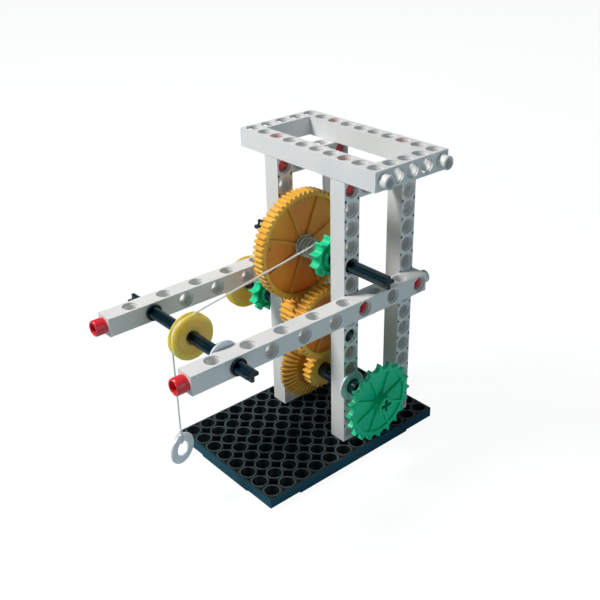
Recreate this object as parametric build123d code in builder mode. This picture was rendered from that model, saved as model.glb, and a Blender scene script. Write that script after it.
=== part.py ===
"""Winch and pulley demonstrator assembled from a peg-and-hole construction kit.

A crank on the lowest axle drives two gear steps up to a winch axle. The string leaves the winch, runs
over a guide pulley held between two arms, and carries a washer as its load.

X runs along the base plate, with the load at -X. Y runs along the axles, with the crank at -Y. Z is up.
The origin is the centre of the base plate's underside. All sizes are in millimetres.
"""

import os
from math import asin, atan2, cos, hypot, pi, radians, sin, tan

from build123d import *

os.makedirs("parts", exist_ok=True)

# The kit's grid: every beam is one pitch thick and every hole sits in the middle of its cell
pitch = 10.0
hole_radius = 3.65
plain_hole_sides = 10
end_hole_depth = 8.7

# Base plate
plate_columns = 12
plate_rows = 8
plate_thickness = 7.0
plate_hole_radius = 4.0
plate_hole_sides = 8
plate_corner = 0.6
plate_relief_cells = 2
plate_relief_height = 1.0
plate_pocket_radius = 3.3
plate_pocket_depth = 3.0

# Frames
frame_column = 6
frame_columns = 5
side_frame_levels = 15
top_frame_rows = 10
near_frame_row = 1
far_frame_row = 6
frame_edge = 0.4
foot_peg_radius = 3.9
foot_peg_length = 5.0

# Arms
arm_column = -4
arm_columns = 15
arm_level = 8
end_tube_radius = 3.5
end_tube_bore_radius = 2.25
end_tube_length = 5.0

# Pins and end pegs
pin_clearance = 0.1
pin_reach = 8.5
pin_sides = 12
peg_head_radius = 4.2
peg_head_length = 6.3
peg_recess_radius = 3.0
peg_recess_depth = 4.0
peg_stem_length = 8.0

# Axles
axle_clearance = 0.08
axle_lobe = 2.0
axle_length = 100.0
crank_axle_length = 88.0
winch_level = 10
intermediate_level = 6
crank_level = 3
guide_column = -2
winch_axle_overhang = 26.0
intermediate_axle_inset = 1.5
crank_axle_overhang = 24.0
guide_axle_overhang = 11.0

# Fits on the axles
bore_clearance = 0.05
side_clearance = 0.2

# Spur gear teeth
module = 1.0
pressure_angle = 20.0
addendum = 0.8
winch_addendum = 0.3
dedendum = 1.3
backlash = 0.3
winch_teeth = 60
intermediate_teeth = 40
pinion_teeth = 20
crown_teeth = 40

# Gear bodies
gear_width = 7.0
rim_depth = 1.7
web_thickness = 2.0
rib_count = 8
rib_width = 1.4
rib_height = 0.8
gear_hub_radius = 6.0
gear_hub_projection = 3.0
pip_radius = 0.9
pip_height = 0.6
pip_distance = 22.5
pinion_inset = 0.6
pinion_width = 5.2
pinion_gap = 0.2
crank_pinion_width = 5.5

# Crown gear
crown_width = 4.8
crown_rim_width = 2.4
crown_tooth_depth = 1.2
crown_inner_radius = 12.7
crown_ridge_width = 1.0
crown_rim_wall = 1.0
crown_floor_thickness = 2.0
crown_hub_radius = 6.0

# Chain sprockets
sprocket_seat_radius = 2.6
sprocket_seat_sides = 10
small_sprocket_teeth = 10
small_sprocket_tip_radius = 11.0
small_sprocket_width = 7.0
small_sprocket_hub_radius = 5.5
small_sprocket_hub_projection = 1.5
small_sprocket_groove_radius = 7.4
small_sprocket_groove_depth = 1.2
hand_wheel_teeth = 20
hand_wheel_tip_radius = 22.0
hand_wheel_width = 2.7
hand_wheel_web_radius = 17.2
hand_wheel_web_recess = 0.7
hand_wheel_hub_radius = 4.8
hand_wheel_front_hub = 4.5
hand_wheel_rear_hub = 3.3
hand_wheel_axle_inset = 2.5

# Pulleys
pulley_width = 4.0
pulley_web_thickness = 1.6
pulley_hub_radius = 5.2
pulley_lip = 0.4
groove_floor_width = 1.8
groove_depth = 2.1
guide_pulley_radius = 12.0
far_pulley_radius = 15.5
rim_wall = 1.6

# Washers, bushes, stop and collars
washer_radius = 8.3
washer_bore_radius = 3.9
washer_thickness = 1.2
bush_radius = 4.4
bush_bore_clearance = 0.05
outer_bush_length = 5.0
inner_bush_length = 11.2
spacer_bush_length = 5.8
collar_length = 1.5
stop_radius = 6.4
stop_nose_radius = 5.6
stop_length = 3.0

# Places along the axles
winch_sprocket_gap = 3.0
winding_gap = 1.0
intermediate_gear_gap = 8.0
crown_gap = 2.6
far_pulley_inset = 11.5
pulley_depth = -3.0

# String and load
string_radius = 0.5
string_clearance = 0.3
winding_length = 15.5
winding_near_radius = 4.7
winding_far_radius = 6.0
string_exit = 2.5
string_split = 1.0
load_height = 31.5
load_turn = 15.0
knot_radius = 1.1
knot_length = 3.2

# Derived places
axle_radius = hole_radius - axle_clearance
pin_radius = hole_radius - pin_clearance
frame_width = frame_columns * pitch
side_frame_height = side_frame_levels * pitch
top_frame_length = top_frame_rows * pitch
arm_length = arm_columns * pitch


def column_x(column):
    """X of the middle of a column of holes."""
    return (column + 0.5 - plate_columns / 2) * pitch


def row_y(row):
    """Y of the middle of a row of holes."""
    return (row + 0.5 - plate_rows / 2) * pitch


def level_z(level):
    """Z of the middle of a level of holes above the base plate."""
    return plate_thickness + (level + 0.5) * pitch


def facing_y(x, y, z):
    """Plane that looks along +Y, with Z up in the sketch."""
    return Plane(origin=(x, y, z), x_dir=(-1, 0, 0), z_dir=(0, 1, 0))


def facing_x(x, y, z):
    """Plane that looks along +X, with Z up in the sketch."""
    return Plane(origin=(x, y, z), x_dir=(0, 1, 0), z_dir=(1, 0, 0))


def axle_line(x, z):
    """Axis of an axle."""
    return Axis((x, 0, z), (0, 1, 0))


def cross_section(radius, lobe):
    """Plus-shaped section of an axle, or of the bore that fits it."""
    with BuildSketch() as section:
        Rectangle(2 * radius, lobe)
        Rectangle(lobe, 2 * radius)
        Circle(radius, mode=Mode.INTERSECT)
    return section.sketch


def gear_outline(teeth, first_tooth, tooth_height=addendum):
    """Spur gear outline with straight-flanked teeth, the first at an angle in degrees."""
    pitch_radius = module * teeth / 2
    root_radius = pitch_radius - dedendum
    tip_radius = pitch_radius + tooth_height
    lean = tan(radians(pressure_angle))
    half_pitch_width = (pi * module / 2 - backlash) / 2
    half_tip = half_pitch_width - tooth_height * lean
    half_foot = half_pitch_width + 2 * dedendum * lean
    foot = pitch_radius - 2 * dedendum
    with BuildSketch() as outline:
        RegularPolygon(root_radius, teeth, rotation=first_tooth)
        with PolarLocations(0, teeth, start_angle=first_tooth):
            Polygon((foot, -half_foot), (tip_radius, -half_tip), (tip_radius, half_tip), (foot, half_foot), align=None)
    return outline.sketch


def sprocket_outline(teeth, tip_radius):
    """Chain sprocket outline: a disc with a round seat for the chain between each two teeth."""
    with BuildSketch() as outline:
        Circle(tip_radius)
        with PolarLocations(tip_radius, teeth, start_angle=90 + 180 / teeth):
            RegularPolygon(sprocket_seat_radius, sprocket_seat_sides, mode=Mode.SUBTRACT)
    return outline.sketch


bore_sketch = cross_section(axle_radius + bore_clearance, axle_lobe + 2 * bore_clearance)
axle_sketch = cross_section(axle_radius, axle_lobe)

deck_z = plate_thickness
frame_top_z = deck_z + side_frame_height
frame_middle_x = column_x(frame_column + (frame_columns - 1) / 2)
near_pillar_x = column_x(frame_column)
far_pillar_x = column_x(frame_column + frame_columns - 1)
near_frame_y = row_y(near_frame_row)
far_frame_y = row_y(far_frame_row)
near_outer_y = near_frame_y - pitch / 2
near_inner_y = near_frame_y + pitch / 2
far_outer_y = far_frame_y + pitch / 2
near_arm_y = near_frame_y - pitch
far_arm_y = far_frame_y + pitch
arm_z = level_z(arm_level)
arm_front_x = column_x(arm_column) - pitch / 2
arm_back_x = arm_front_x + arm_length
frame_center_y = (near_frame_y + far_frame_y) / 2
axle_x = near_pillar_x
winch_z = level_z(winch_level)
intermediate_z = level_z(intermediate_level)
crank_z = level_z(crank_level)
guide_x = column_x(guide_column)
guide_z = arm_z

# Base plate: open grid of holes, with the four corners of the underside relieved
seat_places = [(x, y) for x in (near_pillar_x, far_pillar_x) for y in (near_frame_y, far_frame_y)]
corner_places = [(column_x(c), row_y(r)) for c in (0, plate_columns - 1) for r in (0, plate_rows - 1)]
plate_places = [(column_x(c), row_y(r)) for c in range(plate_columns) for r in range(plate_rows)]
plain_plate_places = [p for p in plate_places if p not in corner_places]
relief_size = plate_relief_cells * pitch

with BuildPart() as base_plate:
    with BuildSketch():
        Rectangle(plate_columns * pitch, plate_rows * pitch)
    extrude(amount=plate_thickness)
    chamfer(base_plate.edges().filter_by(Axis.Z), plate_corner)
    with BuildSketch():
        with GridLocations(plate_columns * pitch - relief_size, plate_rows * pitch - relief_size, 2, 2):
            Rectangle(relief_size, relief_size)
    extrude(amount=plate_relief_height, mode=Mode.SUBTRACT)
    with BuildSketch(Plane.XY.offset(plate_thickness)):
        with Locations(*plain_plate_places):
            RegularPolygon(plate_hole_radius, plate_hole_sides, major_radius=False)
        with Locations(*corner_places):
            Circle(plate_hole_radius)
    extrude(amount=-plate_thickness, mode=Mode.SUBTRACT)
    with BuildSketch(Plane.XY.offset(plate_thickness)):
        with GridLocations(pitch, pitch, plate_columns - 1, plate_rows - 1):
            RegularPolygon(plate_pocket_radius, 4)
    extrude(amount=-plate_pocket_depth, mode=Mode.SUBTRACT)

base_plate.part.label = "base_plate"
export_step(base_plate.part, "parts/base_plate.step")

# Side frames: a ring of square beam, drilled along Y, with pegs below and open ends above
pillar_offset = frame_width / 2 - pitch / 2
end_offset = side_frame_height / 2 - pitch / 2
side_levels = [(k + 0.5) * pitch - side_frame_height / 2 for k in range(side_frame_levels)]
cross_beam_offsets = [(c + 1.5) * pitch - frame_width / 2 for c in range(frame_columns - 2)]
side_ring_places = [(s * pillar_offset, level) for s in (-1, 1) for level in side_levels]
side_ring_places += [(offset, s * end_offset) for offset in cross_beam_offsets for s in (-1, 1)]
bearing_places = [(pillar_offset, side_levels[k]) for k in (winch_level, intermediate_level, crank_level)]
plain_side_places = [p for p in side_ring_places if p not in bearing_places]

with BuildPart() as near_side_frame:
    with BuildSketch(facing_y(frame_middle_x, near_outer_y, deck_z + side_frame_height / 2)):
        Rectangle(frame_width, side_frame_height)
        Rectangle(frame_width - 2 * pitch, side_frame_height - 2 * pitch, mode=Mode.SUBTRACT)
    extrude(amount=pitch)
    chamfer(near_side_frame.edges().filter_by(Axis.Y).group_by(SortBy.DISTANCE)[-1], frame_edge)
    with BuildSketch(facing_y(frame_middle_x, near_outer_y, deck_z + side_frame_height / 2)):
        with Locations(*plain_side_places):
            RegularPolygon(hole_radius, plain_hole_sides, major_radius=False)
        with Locations(*bearing_places):
            Circle(hole_radius)
    extrude(amount=pitch, mode=Mode.SUBTRACT)
    with BuildSketch(Plane.XY.offset(frame_top_z)):
        with Locations((frame_middle_x, near_frame_y)):
            with GridLocations(pitch, pitch, frame_columns, 1):
                RegularPolygon(hole_radius, plain_hole_sides, major_radius=False)
    extrude(amount=-end_hole_depth, mode=Mode.SUBTRACT)
    with BuildSketch(Plane.XY.offset(deck_z)):
        with Locations((near_pillar_x, near_frame_y), (far_pillar_x, near_frame_y)):
            Circle(foot_peg_radius)
    extrude(amount=-foot_peg_length)

near_side_frame.part.label = "near_side_frame"
export_step(near_side_frame.part, "parts/near_side_frame.step")

with BuildPart() as far_side_frame:
    add(near_side_frame.part.moved(Location((0, far_frame_y - near_frame_y, 0))))

far_side_frame.part.label = "far_side_frame"
export_step(far_side_frame.part, "parts/far_side_frame.step")

# Top frame: the same kind of ring laid flat, with two tubular pegs at its near end
top_near_y = frame_center_y - top_frame_length / 2
top_far_y = frame_center_y + top_frame_length / 2
top_middle_z = frame_top_z + pitch / 2
top_end_offset = top_frame_length / 2 - pitch / 2
top_rows = [(k + 0.5) * pitch - top_frame_length / 2 for k in range(top_frame_rows)]
top_ring_places = [(s * pillar_offset, row) for s in (-1, 1) for row in top_rows]
top_ring_places += [(offset, s * top_end_offset) for offset in cross_beam_offsets for s in (-1, 1)]
top_corner_places = [(s * pillar_offset, t * top_end_offset) for s in (-1, 1) for t in (-1, 1)]
plain_top_places = [p for p in top_ring_places if p not in top_corner_places]

with BuildPart() as top_frame:
    with BuildSketch(Plane.XY.offset(frame_top_z).move(Location((frame_middle_x, frame_center_y, 0)))):
        Rectangle(frame_width, top_frame_length)
        Rectangle(frame_width - 2 * pitch, top_frame_length - 2 * pitch, mode=Mode.SUBTRACT)
    extrude(amount=pitch)
    chamfer(top_frame.edges().filter_by(Axis.Z).group_by(SortBy.DISTANCE)[-1], frame_edge)
    with BuildSketch(Plane.XY.offset(frame_top_z).move(Location((frame_middle_x, frame_center_y, 0)))):
        with Locations(*plain_top_places):
            RegularPolygon(hole_radius, plain_hole_sides, major_radius=False)
        with Locations(*top_corner_places):
            Circle(hole_radius)
    extrude(amount=pitch, mode=Mode.SUBTRACT)
    with BuildSketch(facing_y(frame_middle_x, top_near_y, top_middle_z)):
        with GridLocations(pitch, pitch, frame_columns - 2, 1):
            RegularPolygon(hole_radius, plain_hole_sides, major_radius=False)
    extrude(amount=end_hole_depth, mode=Mode.SUBTRACT)
    with BuildSketch(facing_y(frame_middle_x, top_far_y, top_middle_z)):
        with GridLocations(pitch, pitch, frame_columns, 1):
            RegularPolygon(hole_radius, plain_hole_sides, major_radius=False)
    extrude(amount=-end_hole_depth, mode=Mode.SUBTRACT)
    with BuildSketch(facing_y(frame_middle_x, top_near_y, top_middle_z)):
        with GridLocations(2 * pillar_offset, pitch, 2, 1):
            Circle(end_tube_radius)
            Circle(end_tube_bore_radius, mode=Mode.SUBTRACT)
    extrude(amount=-end_tube_length)

top_frame.part.label = "top_frame"
export_step(top_frame.part, "parts/top_frame.step")

# Arms: a long beam drilled by turns from above and from the side
arm_side_columns = range(arm_column + 2, arm_column + arm_columns, 2)
arm_top_columns = range(arm_column + 1, arm_column + arm_columns - 1, 2)
arm_plain_places = [(column_x(c), arm_z) for c in arm_side_columns if c != guide_column]

with BuildPart() as near_arm:
    with BuildSketch(facing_x(arm_front_x, near_arm_y, arm_z)):
        Rectangle(pitch, pitch)
        RegularPolygon(hole_radius, plain_hole_sides, major_radius=False, mode=Mode.SUBTRACT)
    extrude(amount=end_hole_depth)
    with BuildSketch(facing_x(arm_front_x + end_hole_depth, near_arm_y, arm_z)):
        Rectangle(pitch, pitch)
    extrude(amount=arm_length - end_hole_depth)
    chamfer(near_arm.faces().sort_by(Axis.X)[0].outer_wire().edges(), frame_edge)
    with BuildSketch(Plane.XY.offset(arm_z + pitch / 2)):
        with Locations(*[(column_x(c), near_arm_y) for c in arm_top_columns]):
            RegularPolygon(hole_radius, plain_hole_sides, major_radius=False)
    extrude(amount=-pitch, mode=Mode.SUBTRACT)
    with BuildSketch(Plane.XZ.offset(-near_arm_y - pitch / 2)):
        with Locations(*arm_plain_places):
            RegularPolygon(hole_radius, plain_hole_sides, major_radius=False)
        with Locations((guide_x, arm_z)):
            Circle(hole_radius)
    extrude(amount=pitch, mode=Mode.SUBTRACT)
    with BuildSketch(facing_x(arm_back_x, near_arm_y, arm_z)):
        Circle(end_tube_radius)
        Circle(end_tube_bore_radius, mode=Mode.SUBTRACT)
    extrude(amount=end_tube_length)

near_arm.part.label = "near_arm"
export_step(near_arm.part, "parts/near_arm.step")

with BuildPart() as far_arm:
    add(near_arm.part.moved(Location((0, far_arm_y - near_arm_y, 0))))

far_arm.part.label = "far_arm"
export_step(far_arm.part, "parts/far_arm.step")

# End pegs: a stem in the arm's front hole and a hollow head outside it
with BuildPart() as near_arm_end_peg:
    with BuildSketch(facing_x(arm_front_x, near_arm_y, arm_z)):
        Circle(pin_radius)
    extrude(amount=peg_stem_length)
    with BuildSketch(facing_x(arm_front_x, near_arm_y, arm_z)):
        Circle(peg_head_radius)
    extrude(amount=-peg_head_length)
    with BuildSketch(facing_x(arm_front_x - peg_head_length, near_arm_y, arm_z)):
        Circle(peg_recess_radius)
    extrude(amount=peg_recess_depth, mode=Mode.SUBTRACT)

near_arm_end_peg.part.label = "near_arm_end_peg"
export_step(near_arm_end_peg.part, "parts/near_arm_end_peg.step")

with BuildPart() as far_arm_end_peg:
    add(near_arm_end_peg.part.moved(Location((0, far_arm_y - near_arm_y, 0))))

far_arm_end_peg.part.label = "far_arm_end_peg"
export_step(far_arm_end_peg.part, "parts/far_arm_end_peg.step")

# Connector pins: four join the arms to the side frames and four join the top frame to their tops
with BuildPart() as connector_pins:
    for joint_y in (near_outer_y, far_outer_y):
        with BuildSketch(facing_y(frame_middle_x, joint_y, arm_z)):
            with GridLocations(2 * pillar_offset, pitch, 2, 1):
                RegularPolygon(pin_radius, pin_sides)
        extrude(amount=pin_reach, both=True)
    with BuildSketch(Plane.XY.offset(frame_top_z)):
        with Locations(*seat_places):
            RegularPolygon(pin_radius, pin_sides)
    extrude(amount=pin_reach, both=True)

connector_pins.part.label = "connector_pins"
export_step(connector_pins.part, "parts/connector_pins.step")

# Winch axle, its large gear and its chain sprocket
winch_start_y = near_outer_y - winch_axle_overhang
sprocket_near_y = near_inner_y + winch_sprocket_gap
winding_near_y = sprocket_near_y + small_sprocket_width + winding_gap
winding_far_y = winding_near_y + winding_length
web_recess = (gear_width - web_thickness) / 2
winch_gear_y = winding_far_y + side_clearance - web_recess
winch_rim_radius = module * winch_teeth / 2 - dedendum - rim_depth

with BuildPart() as winch_axle:
    with BuildSketch(facing_y(axle_x, winch_start_y, winch_z)):
        add(axle_sketch)
    extrude(amount=axle_length)

winch_axle.part.label = "winch_axle"
export_step(winch_axle.part, "parts/winch_axle.step")

with BuildPart() as winch_gear:
    with BuildSketch(facing_y(axle_x, winch_gear_y, winch_z)):
        add(gear_outline(winch_teeth, -90, winch_addendum))
        Circle(winch_rim_radius, mode=Mode.SUBTRACT)
    extrude(amount=gear_width)
    with BuildSketch(facing_y(axle_x, winch_gear_y + web_recess, winch_z)):
        Circle(winch_rim_radius)
    extrude(amount=web_thickness)
    with BuildSketch(facing_y(axle_x, winch_gear_y + web_recess - rib_height, winch_z)):
        with PolarLocations(winch_rim_radius / 2, rib_count, start_angle=22.5):
            Rectangle(winch_rim_radius, rib_width)
        Circle(winding_far_radius + string_clearance, mode=Mode.SUBTRACT)
        Circle(winch_rim_radius, mode=Mode.INTERSECT)
    extrude(amount=rib_height)
    with BuildSketch(facing_y(axle_x, winch_gear_y + web_recess, winch_z)):
        Circle(gear_hub_radius)
    extrude(amount=gear_width - web_recess + gear_hub_projection)
    with BuildSketch(facing_y(axle_x, winch_gear_y + web_recess, winch_z)):
        with PolarLocations(pip_distance, 1, start_angle=10):
            Circle(pip_radius)
    extrude(amount=-pip_height)
    with BuildSketch(facing_y(axle_x, winch_gear_y, winch_z)):
        add(bore_sketch)
    extrude(amount=gear_width + gear_hub_projection, mode=Mode.SUBTRACT)

winch_gear.part.label = "winch_gear"
export_step(winch_gear.part, "parts/winch_gear.step")

with BuildPart() as winch_sprocket:
    with BuildSketch(facing_y(axle_x, sprocket_near_y + small_sprocket_hub_projection, winch_z)):
        add(sprocket_outline(small_sprocket_teeth, small_sprocket_tip_radius))
    extrude(amount=small_sprocket_width - small_sprocket_hub_projection)
    with BuildSketch(facing_y(axle_x, sprocket_near_y + small_sprocket_hub_projection, winch_z)):
        Circle(small_sprocket_groove_radius)
    extrude(amount=small_sprocket_groove_depth, mode=Mode.SUBTRACT)
    with BuildSketch(facing_y(axle_x, sprocket_near_y, winch_z)):
        Circle(small_sprocket_hub_radius)
    extrude(amount=small_sprocket_width)
    with BuildSketch(facing_y(axle_x, sprocket_near_y, winch_z)):
        add(bore_sketch)
    extrude(amount=small_sprocket_width, mode=Mode.SUBTRACT)

winch_sprocket.part.label = "winch_sprocket"
export_step(winch_sprocket.part, "parts/winch_sprocket.step")

with BuildPart() as string_winding:
    with BuildSketch(Plane(origin=(axle_x, 0, winch_z))):
        Polygon(
            (axle_radius + bore_clearance, winding_near_y),
            (winding_near_radius, winding_near_y),
            (winding_far_radius, winding_far_y),
            (axle_radius + bore_clearance, winding_far_y),
            align=None,
        )
    revolve(axis=axle_line(axle_x, winch_z))

string_winding.part.label = "string_winding"
export_step(string_winding.part, "parts/string_winding.step")

# Intermediate axle: the gear that the crank drives, and the two pinions that drive the winch gear
intermediate_start_y = near_outer_y + intermediate_axle_inset
intermediate_gear_y = near_inner_y + intermediate_gear_gap
intermediate_rim_radius = module * intermediate_teeth / 2 - dedendum - rim_depth
pinion_near_y = winch_gear_y + pinion_inset

with BuildPart() as intermediate_axle:
    with BuildSketch(facing_y(axle_x, intermediate_start_y, intermediate_z)):
        add(axle_sketch)
    extrude(amount=axle_length)

intermediate_axle.part.label = "intermediate_axle"
export_step(intermediate_axle.part, "parts/intermediate_axle.step")

with BuildPart() as intermediate_gear:
    with BuildSketch(facing_y(axle_x, intermediate_gear_y, intermediate_z)):
        add(gear_outline(intermediate_teeth, -90))
        Circle(intermediate_rim_radius, mode=Mode.SUBTRACT)
    extrude(amount=gear_width)
    with BuildSketch(facing_y(axle_x, intermediate_gear_y + web_recess, intermediate_z)):
        Circle(intermediate_rim_radius)
    extrude(amount=web_thickness)
    with BuildSketch(facing_y(axle_x, intermediate_gear_y + web_recess - rib_height, intermediate_z)):
        with PolarLocations(intermediate_rim_radius / 2, rib_count, start_angle=22.5):
            Rectangle(intermediate_rim_radius, rib_width)
        Circle(intermediate_rim_radius, mode=Mode.INTERSECT)
    extrude(amount=rib_height)
    with BuildSketch(facing_y(axle_x, intermediate_gear_y, intermediate_z)):
        Circle(gear_hub_radius)
    extrude(amount=gear_width + gear_hub_projection)
    with BuildSketch(facing_y(axle_x, intermediate_gear_y, intermediate_z)):
        add(bore_sketch)
    extrude(amount=gear_width + gear_hub_projection, mode=Mode.SUBTRACT)

intermediate_gear.part.label = "intermediate_gear"
export_step(intermediate_gear.part, "parts/intermediate_gear.step")

with BuildPart() as intermediate_pinions:
    for start_y in (pinion_near_y, pinion_near_y + pinion_width + pinion_gap):
        with BuildSketch(facing_y(axle_x, start_y, intermediate_z)):
            add(gear_outline(pinion_teeth, 90 + 180 / pinion_teeth))
            add(bore_sketch, mode=Mode.SUBTRACT)
        extrude(amount=pinion_width)

intermediate_pinions.part.label = "intermediate_pinions"
export_step(intermediate_pinions.part, "parts/intermediate_pinions.step")

spacer_near_y = far_outer_y + side_clearance
far_sprocket_near_y = spacer_near_y + spacer_bush_length
far_pulley_y = intermediate_start_y + axle_length - far_pulley_inset - pulley_width / 2

with BuildPart() as far_spacer_bush:
    with BuildSketch(facing_y(axle_x, spacer_near_y, intermediate_z)):
        Circle(bush_radius)
        Circle(axle_radius + bush_bore_clearance, mode=Mode.SUBTRACT)
    extrude(amount=spacer_bush_length)

far_spacer_bush.part.label = "far_spacer_bush"
export_step(far_spacer_bush.part, "parts/far_spacer_bush.step")

with BuildPart() as far_sprocket:
    add(winch_sprocket.part.moved(Location((0, far_sprocket_near_y - sprocket_near_y, intermediate_z - winch_z))))

far_sprocket.part.label = "far_sprocket"
export_step(far_sprocket.part, "parts/far_sprocket.step")


def pulley_section(radius, middle_y):
    """Half section of a pulley: hub, dished web and a rim with a flared groove."""
    half_width = pulley_width / 2
    half_web = pulley_web_thickness / 2
    half_floor = groove_floor_width / 2
    floor_radius = radius - groove_depth
    rim_radius = floor_radius - rim_wall
    with BuildSketch() as section:
        with BuildLine(Plane.XY.move(Location((0, middle_y, 0)))):
            Polyline(
                (0, -half_width),
                (pulley_hub_radius, -half_width),
                (pulley_hub_radius, -half_web),
                (rim_radius, -half_web),
                (rim_radius, -half_width),
                (radius, -half_width),
                (radius, -half_width + pulley_lip),
                (floor_radius, -half_floor),
                (floor_radius, half_floor),
                (radius, half_width - pulley_lip),
                (radius, half_width),
                (rim_radius, half_width),
                (rim_radius, half_web),
                (pulley_hub_radius, half_web),
                (pulley_hub_radius, half_width),
                (0, half_width),
                close=True,
            )
        make_face()
    return section.sketch


with BuildPart() as far_pulley:
    with BuildSketch(Plane(origin=(axle_x, 0, intermediate_z))):
        add(pulley_section(far_pulley_radius, far_pulley_y))
    revolve(axis=axle_line(axle_x, intermediate_z))
    with BuildSketch(facing_y(axle_x, far_pulley_y, intermediate_z)):
        add(bore_sketch)
    extrude(amount=pulley_width, both=True, mode=Mode.SUBTRACT)

far_pulley.part.label = "far_pulley"
export_step(far_pulley.part, "parts/far_pulley.step")

# Crank axle: hand wheel outside the near frame, pinion and crown gear inside
crank_start_y = near_outer_y - crank_axle_overhang
wheel_front_y = crank_start_y - hand_wheel_axle_inset
wheel_near_y = wheel_front_y + hand_wheel_front_hub
crank_washer_y = near_outer_y - side_clearance - washer_thickness
outer_bush_y = crank_washer_y - outer_bush_length
inner_bush_y = near_inner_y + side_clearance
crank_pinion_y = inner_bush_y + inner_bush_length
crown_near_y = crank_pinion_y + crank_pinion_width + crown_gap

with BuildPart() as crank_axle:
    with BuildSketch(facing_y(axle_x, crank_start_y, crank_z)):
        add(axle_sketch)
    extrude(amount=crank_axle_length)

crank_axle.part.label = "crank_axle"
export_step(crank_axle.part, "parts/crank_axle.step")

with BuildPart() as hand_wheel:
    with BuildSketch(facing_y(axle_x, wheel_near_y, crank_z)):
        add(sprocket_outline(hand_wheel_teeth, hand_wheel_tip_radius))
    extrude(amount=hand_wheel_width)
    with BuildSketch(facing_y(axle_x, wheel_near_y, crank_z)):
        Circle(hand_wheel_web_radius)
        with PolarLocations(hand_wheel_web_radius / 2, rib_count, start_angle=22.5):
            Rectangle(hand_wheel_web_radius, rib_width, mode=Mode.SUBTRACT)
    extrude(amount=hand_wheel_web_recess, mode=Mode.SUBTRACT)
    with BuildSketch(facing_y(axle_x, wheel_front_y, crank_z)):
        Circle(hand_wheel_hub_radius)
    extrude(amount=hand_wheel_front_hub + hand_wheel_width + hand_wheel_rear_hub)
    with BuildSketch(facing_y(axle_x, wheel_front_y, crank_z)):
        add(bore_sketch)
    extrude(amount=hand_wheel_front_hub + hand_wheel_width + hand_wheel_rear_hub, mode=Mode.SUBTRACT)

hand_wheel.part.label = "hand_wheel"
export_step(hand_wheel.part, "parts/hand_wheel.step")

with BuildPart() as crank_outer_bush:
    with BuildSketch(facing_y(axle_x, outer_bush_y, crank_z)):
        Circle(bush_radius)
        Circle(axle_radius + bush_bore_clearance, mode=Mode.SUBTRACT)
    extrude(amount=outer_bush_length)

crank_outer_bush.part.label = "crank_outer_bush"
export_step(crank_outer_bush.part, "parts/crank_outer_bush.step")

with BuildPart() as crank_washer:
    with BuildSketch(facing_y(axle_x, crank_washer_y, crank_z)):
        Circle(washer_radius)
        Circle(washer_bore_radius, mode=Mode.SUBTRACT)
    extrude(amount=washer_thickness)

crank_washer.part.label = "crank_washer"
export_step(crank_washer.part, "parts/crank_washer.step")

with BuildPart() as crank_inner_bush:
    with BuildSketch(facing_y(axle_x, inner_bush_y, crank_z)):
        Circle(bush_radius)
        Circle(axle_radius + bush_bore_clearance, mode=Mode.SUBTRACT)
    extrude(amount=inner_bush_length)

crank_inner_bush.part.label = "crank_inner_bush"
export_step(crank_inner_bush.part, "parts/crank_inner_bush.step")

with BuildPart() as crank_pinion:
    with BuildSketch(facing_y(axle_x, crank_pinion_y, crank_z)):
        add(gear_outline(pinion_teeth, 90 + 180 / pinion_teeth))
        add(bore_sketch, mode=Mode.SUBTRACT)
    extrude(amount=crank_pinion_width)

crank_pinion.part.label = "crank_pinion"
export_step(crank_pinion.part, "parts/crank_pinion.step")

# Crown gear: spur teeth round the back rim, and ridges that run from them down a cone
crown_root_radius = module * crown_teeth / 2 - dedendum
crown_ridge_end = module * crown_teeth / 2 + addendum - crown_ridge_width / 2
crown_cone_height = crown_width - crown_rim_width

with BuildPart() as crown_ridge:
    with BuildSketch(Plane.XZ):
        Polygon(
            (crown_inner_radius, 0),
            (crown_ridge_end, crown_cone_height - crown_tooth_depth / 2),
            (crown_ridge_end, crown_cone_height + crown_tooth_depth / 2),
            (crown_root_radius - crown_tooth_depth / 2, crown_cone_height + crown_tooth_depth / 2),
            (crown_inner_radius, crown_tooth_depth * 1.5),
            align=None,
        )
    extrude(amount=crown_ridge_width / 2, both=True)

with BuildPart() as crown_gear:
    with BuildSketch(facing_y(axle_x, crown_near_y + crown_cone_height, crank_z)):
        add(gear_outline(crown_teeth, 90))
    extrude(amount=crown_rim_width)
    with BuildSketch(facing_y(axle_x, crown_near_y + crown_tooth_depth, crank_z)):
        RegularPolygon(crown_inner_radius, crown_teeth, rotation=90)
    with BuildSketch(facing_y(axle_x, crown_near_y + crown_cone_height, crank_z)):
        RegularPolygon(crown_root_radius, crown_teeth, rotation=90)
    loft()
    with Locations(facing_y(axle_x, crown_near_y, crank_z)):
        with PolarLocations(0, crown_teeth, start_angle=90):
            add(crown_ridge.part)
    with BuildSketch(facing_y(axle_x, crown_near_y, crank_z)):
        RegularPolygon(crown_inner_radius - crown_rim_wall, crown_teeth)
    extrude(amount=crown_width - crown_floor_thickness, mode=Mode.SUBTRACT)
    with BuildSketch(facing_y(axle_x, crown_near_y + crown_tooth_depth, crank_z)):
        Circle(crown_hub_radius)
    extrude(amount=crown_width - crown_tooth_depth)
    with BuildSketch(facing_y(axle_x, crown_near_y, crank_z)):
        add(bore_sketch)
    extrude(amount=crown_width, mode=Mode.SUBTRACT)

crown_gear.part.label = "crown_gear"
export_step(crown_gear.part, "parts/crown_gear.step")

# Guide axle between the arms, with its pulley, washer, stop and collars
guide_start_y = near_arm_y - pitch / 2 - guide_axle_overhang
near_arm_outer_y = near_arm_y - pitch / 2
near_arm_inner_y = near_arm_y + pitch / 2
far_arm_inner_y = far_arm_y - pitch / 2
guide_washer_y = near_arm_inner_y + side_clearance
guide_stop_y = guide_washer_y + washer_thickness

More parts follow.
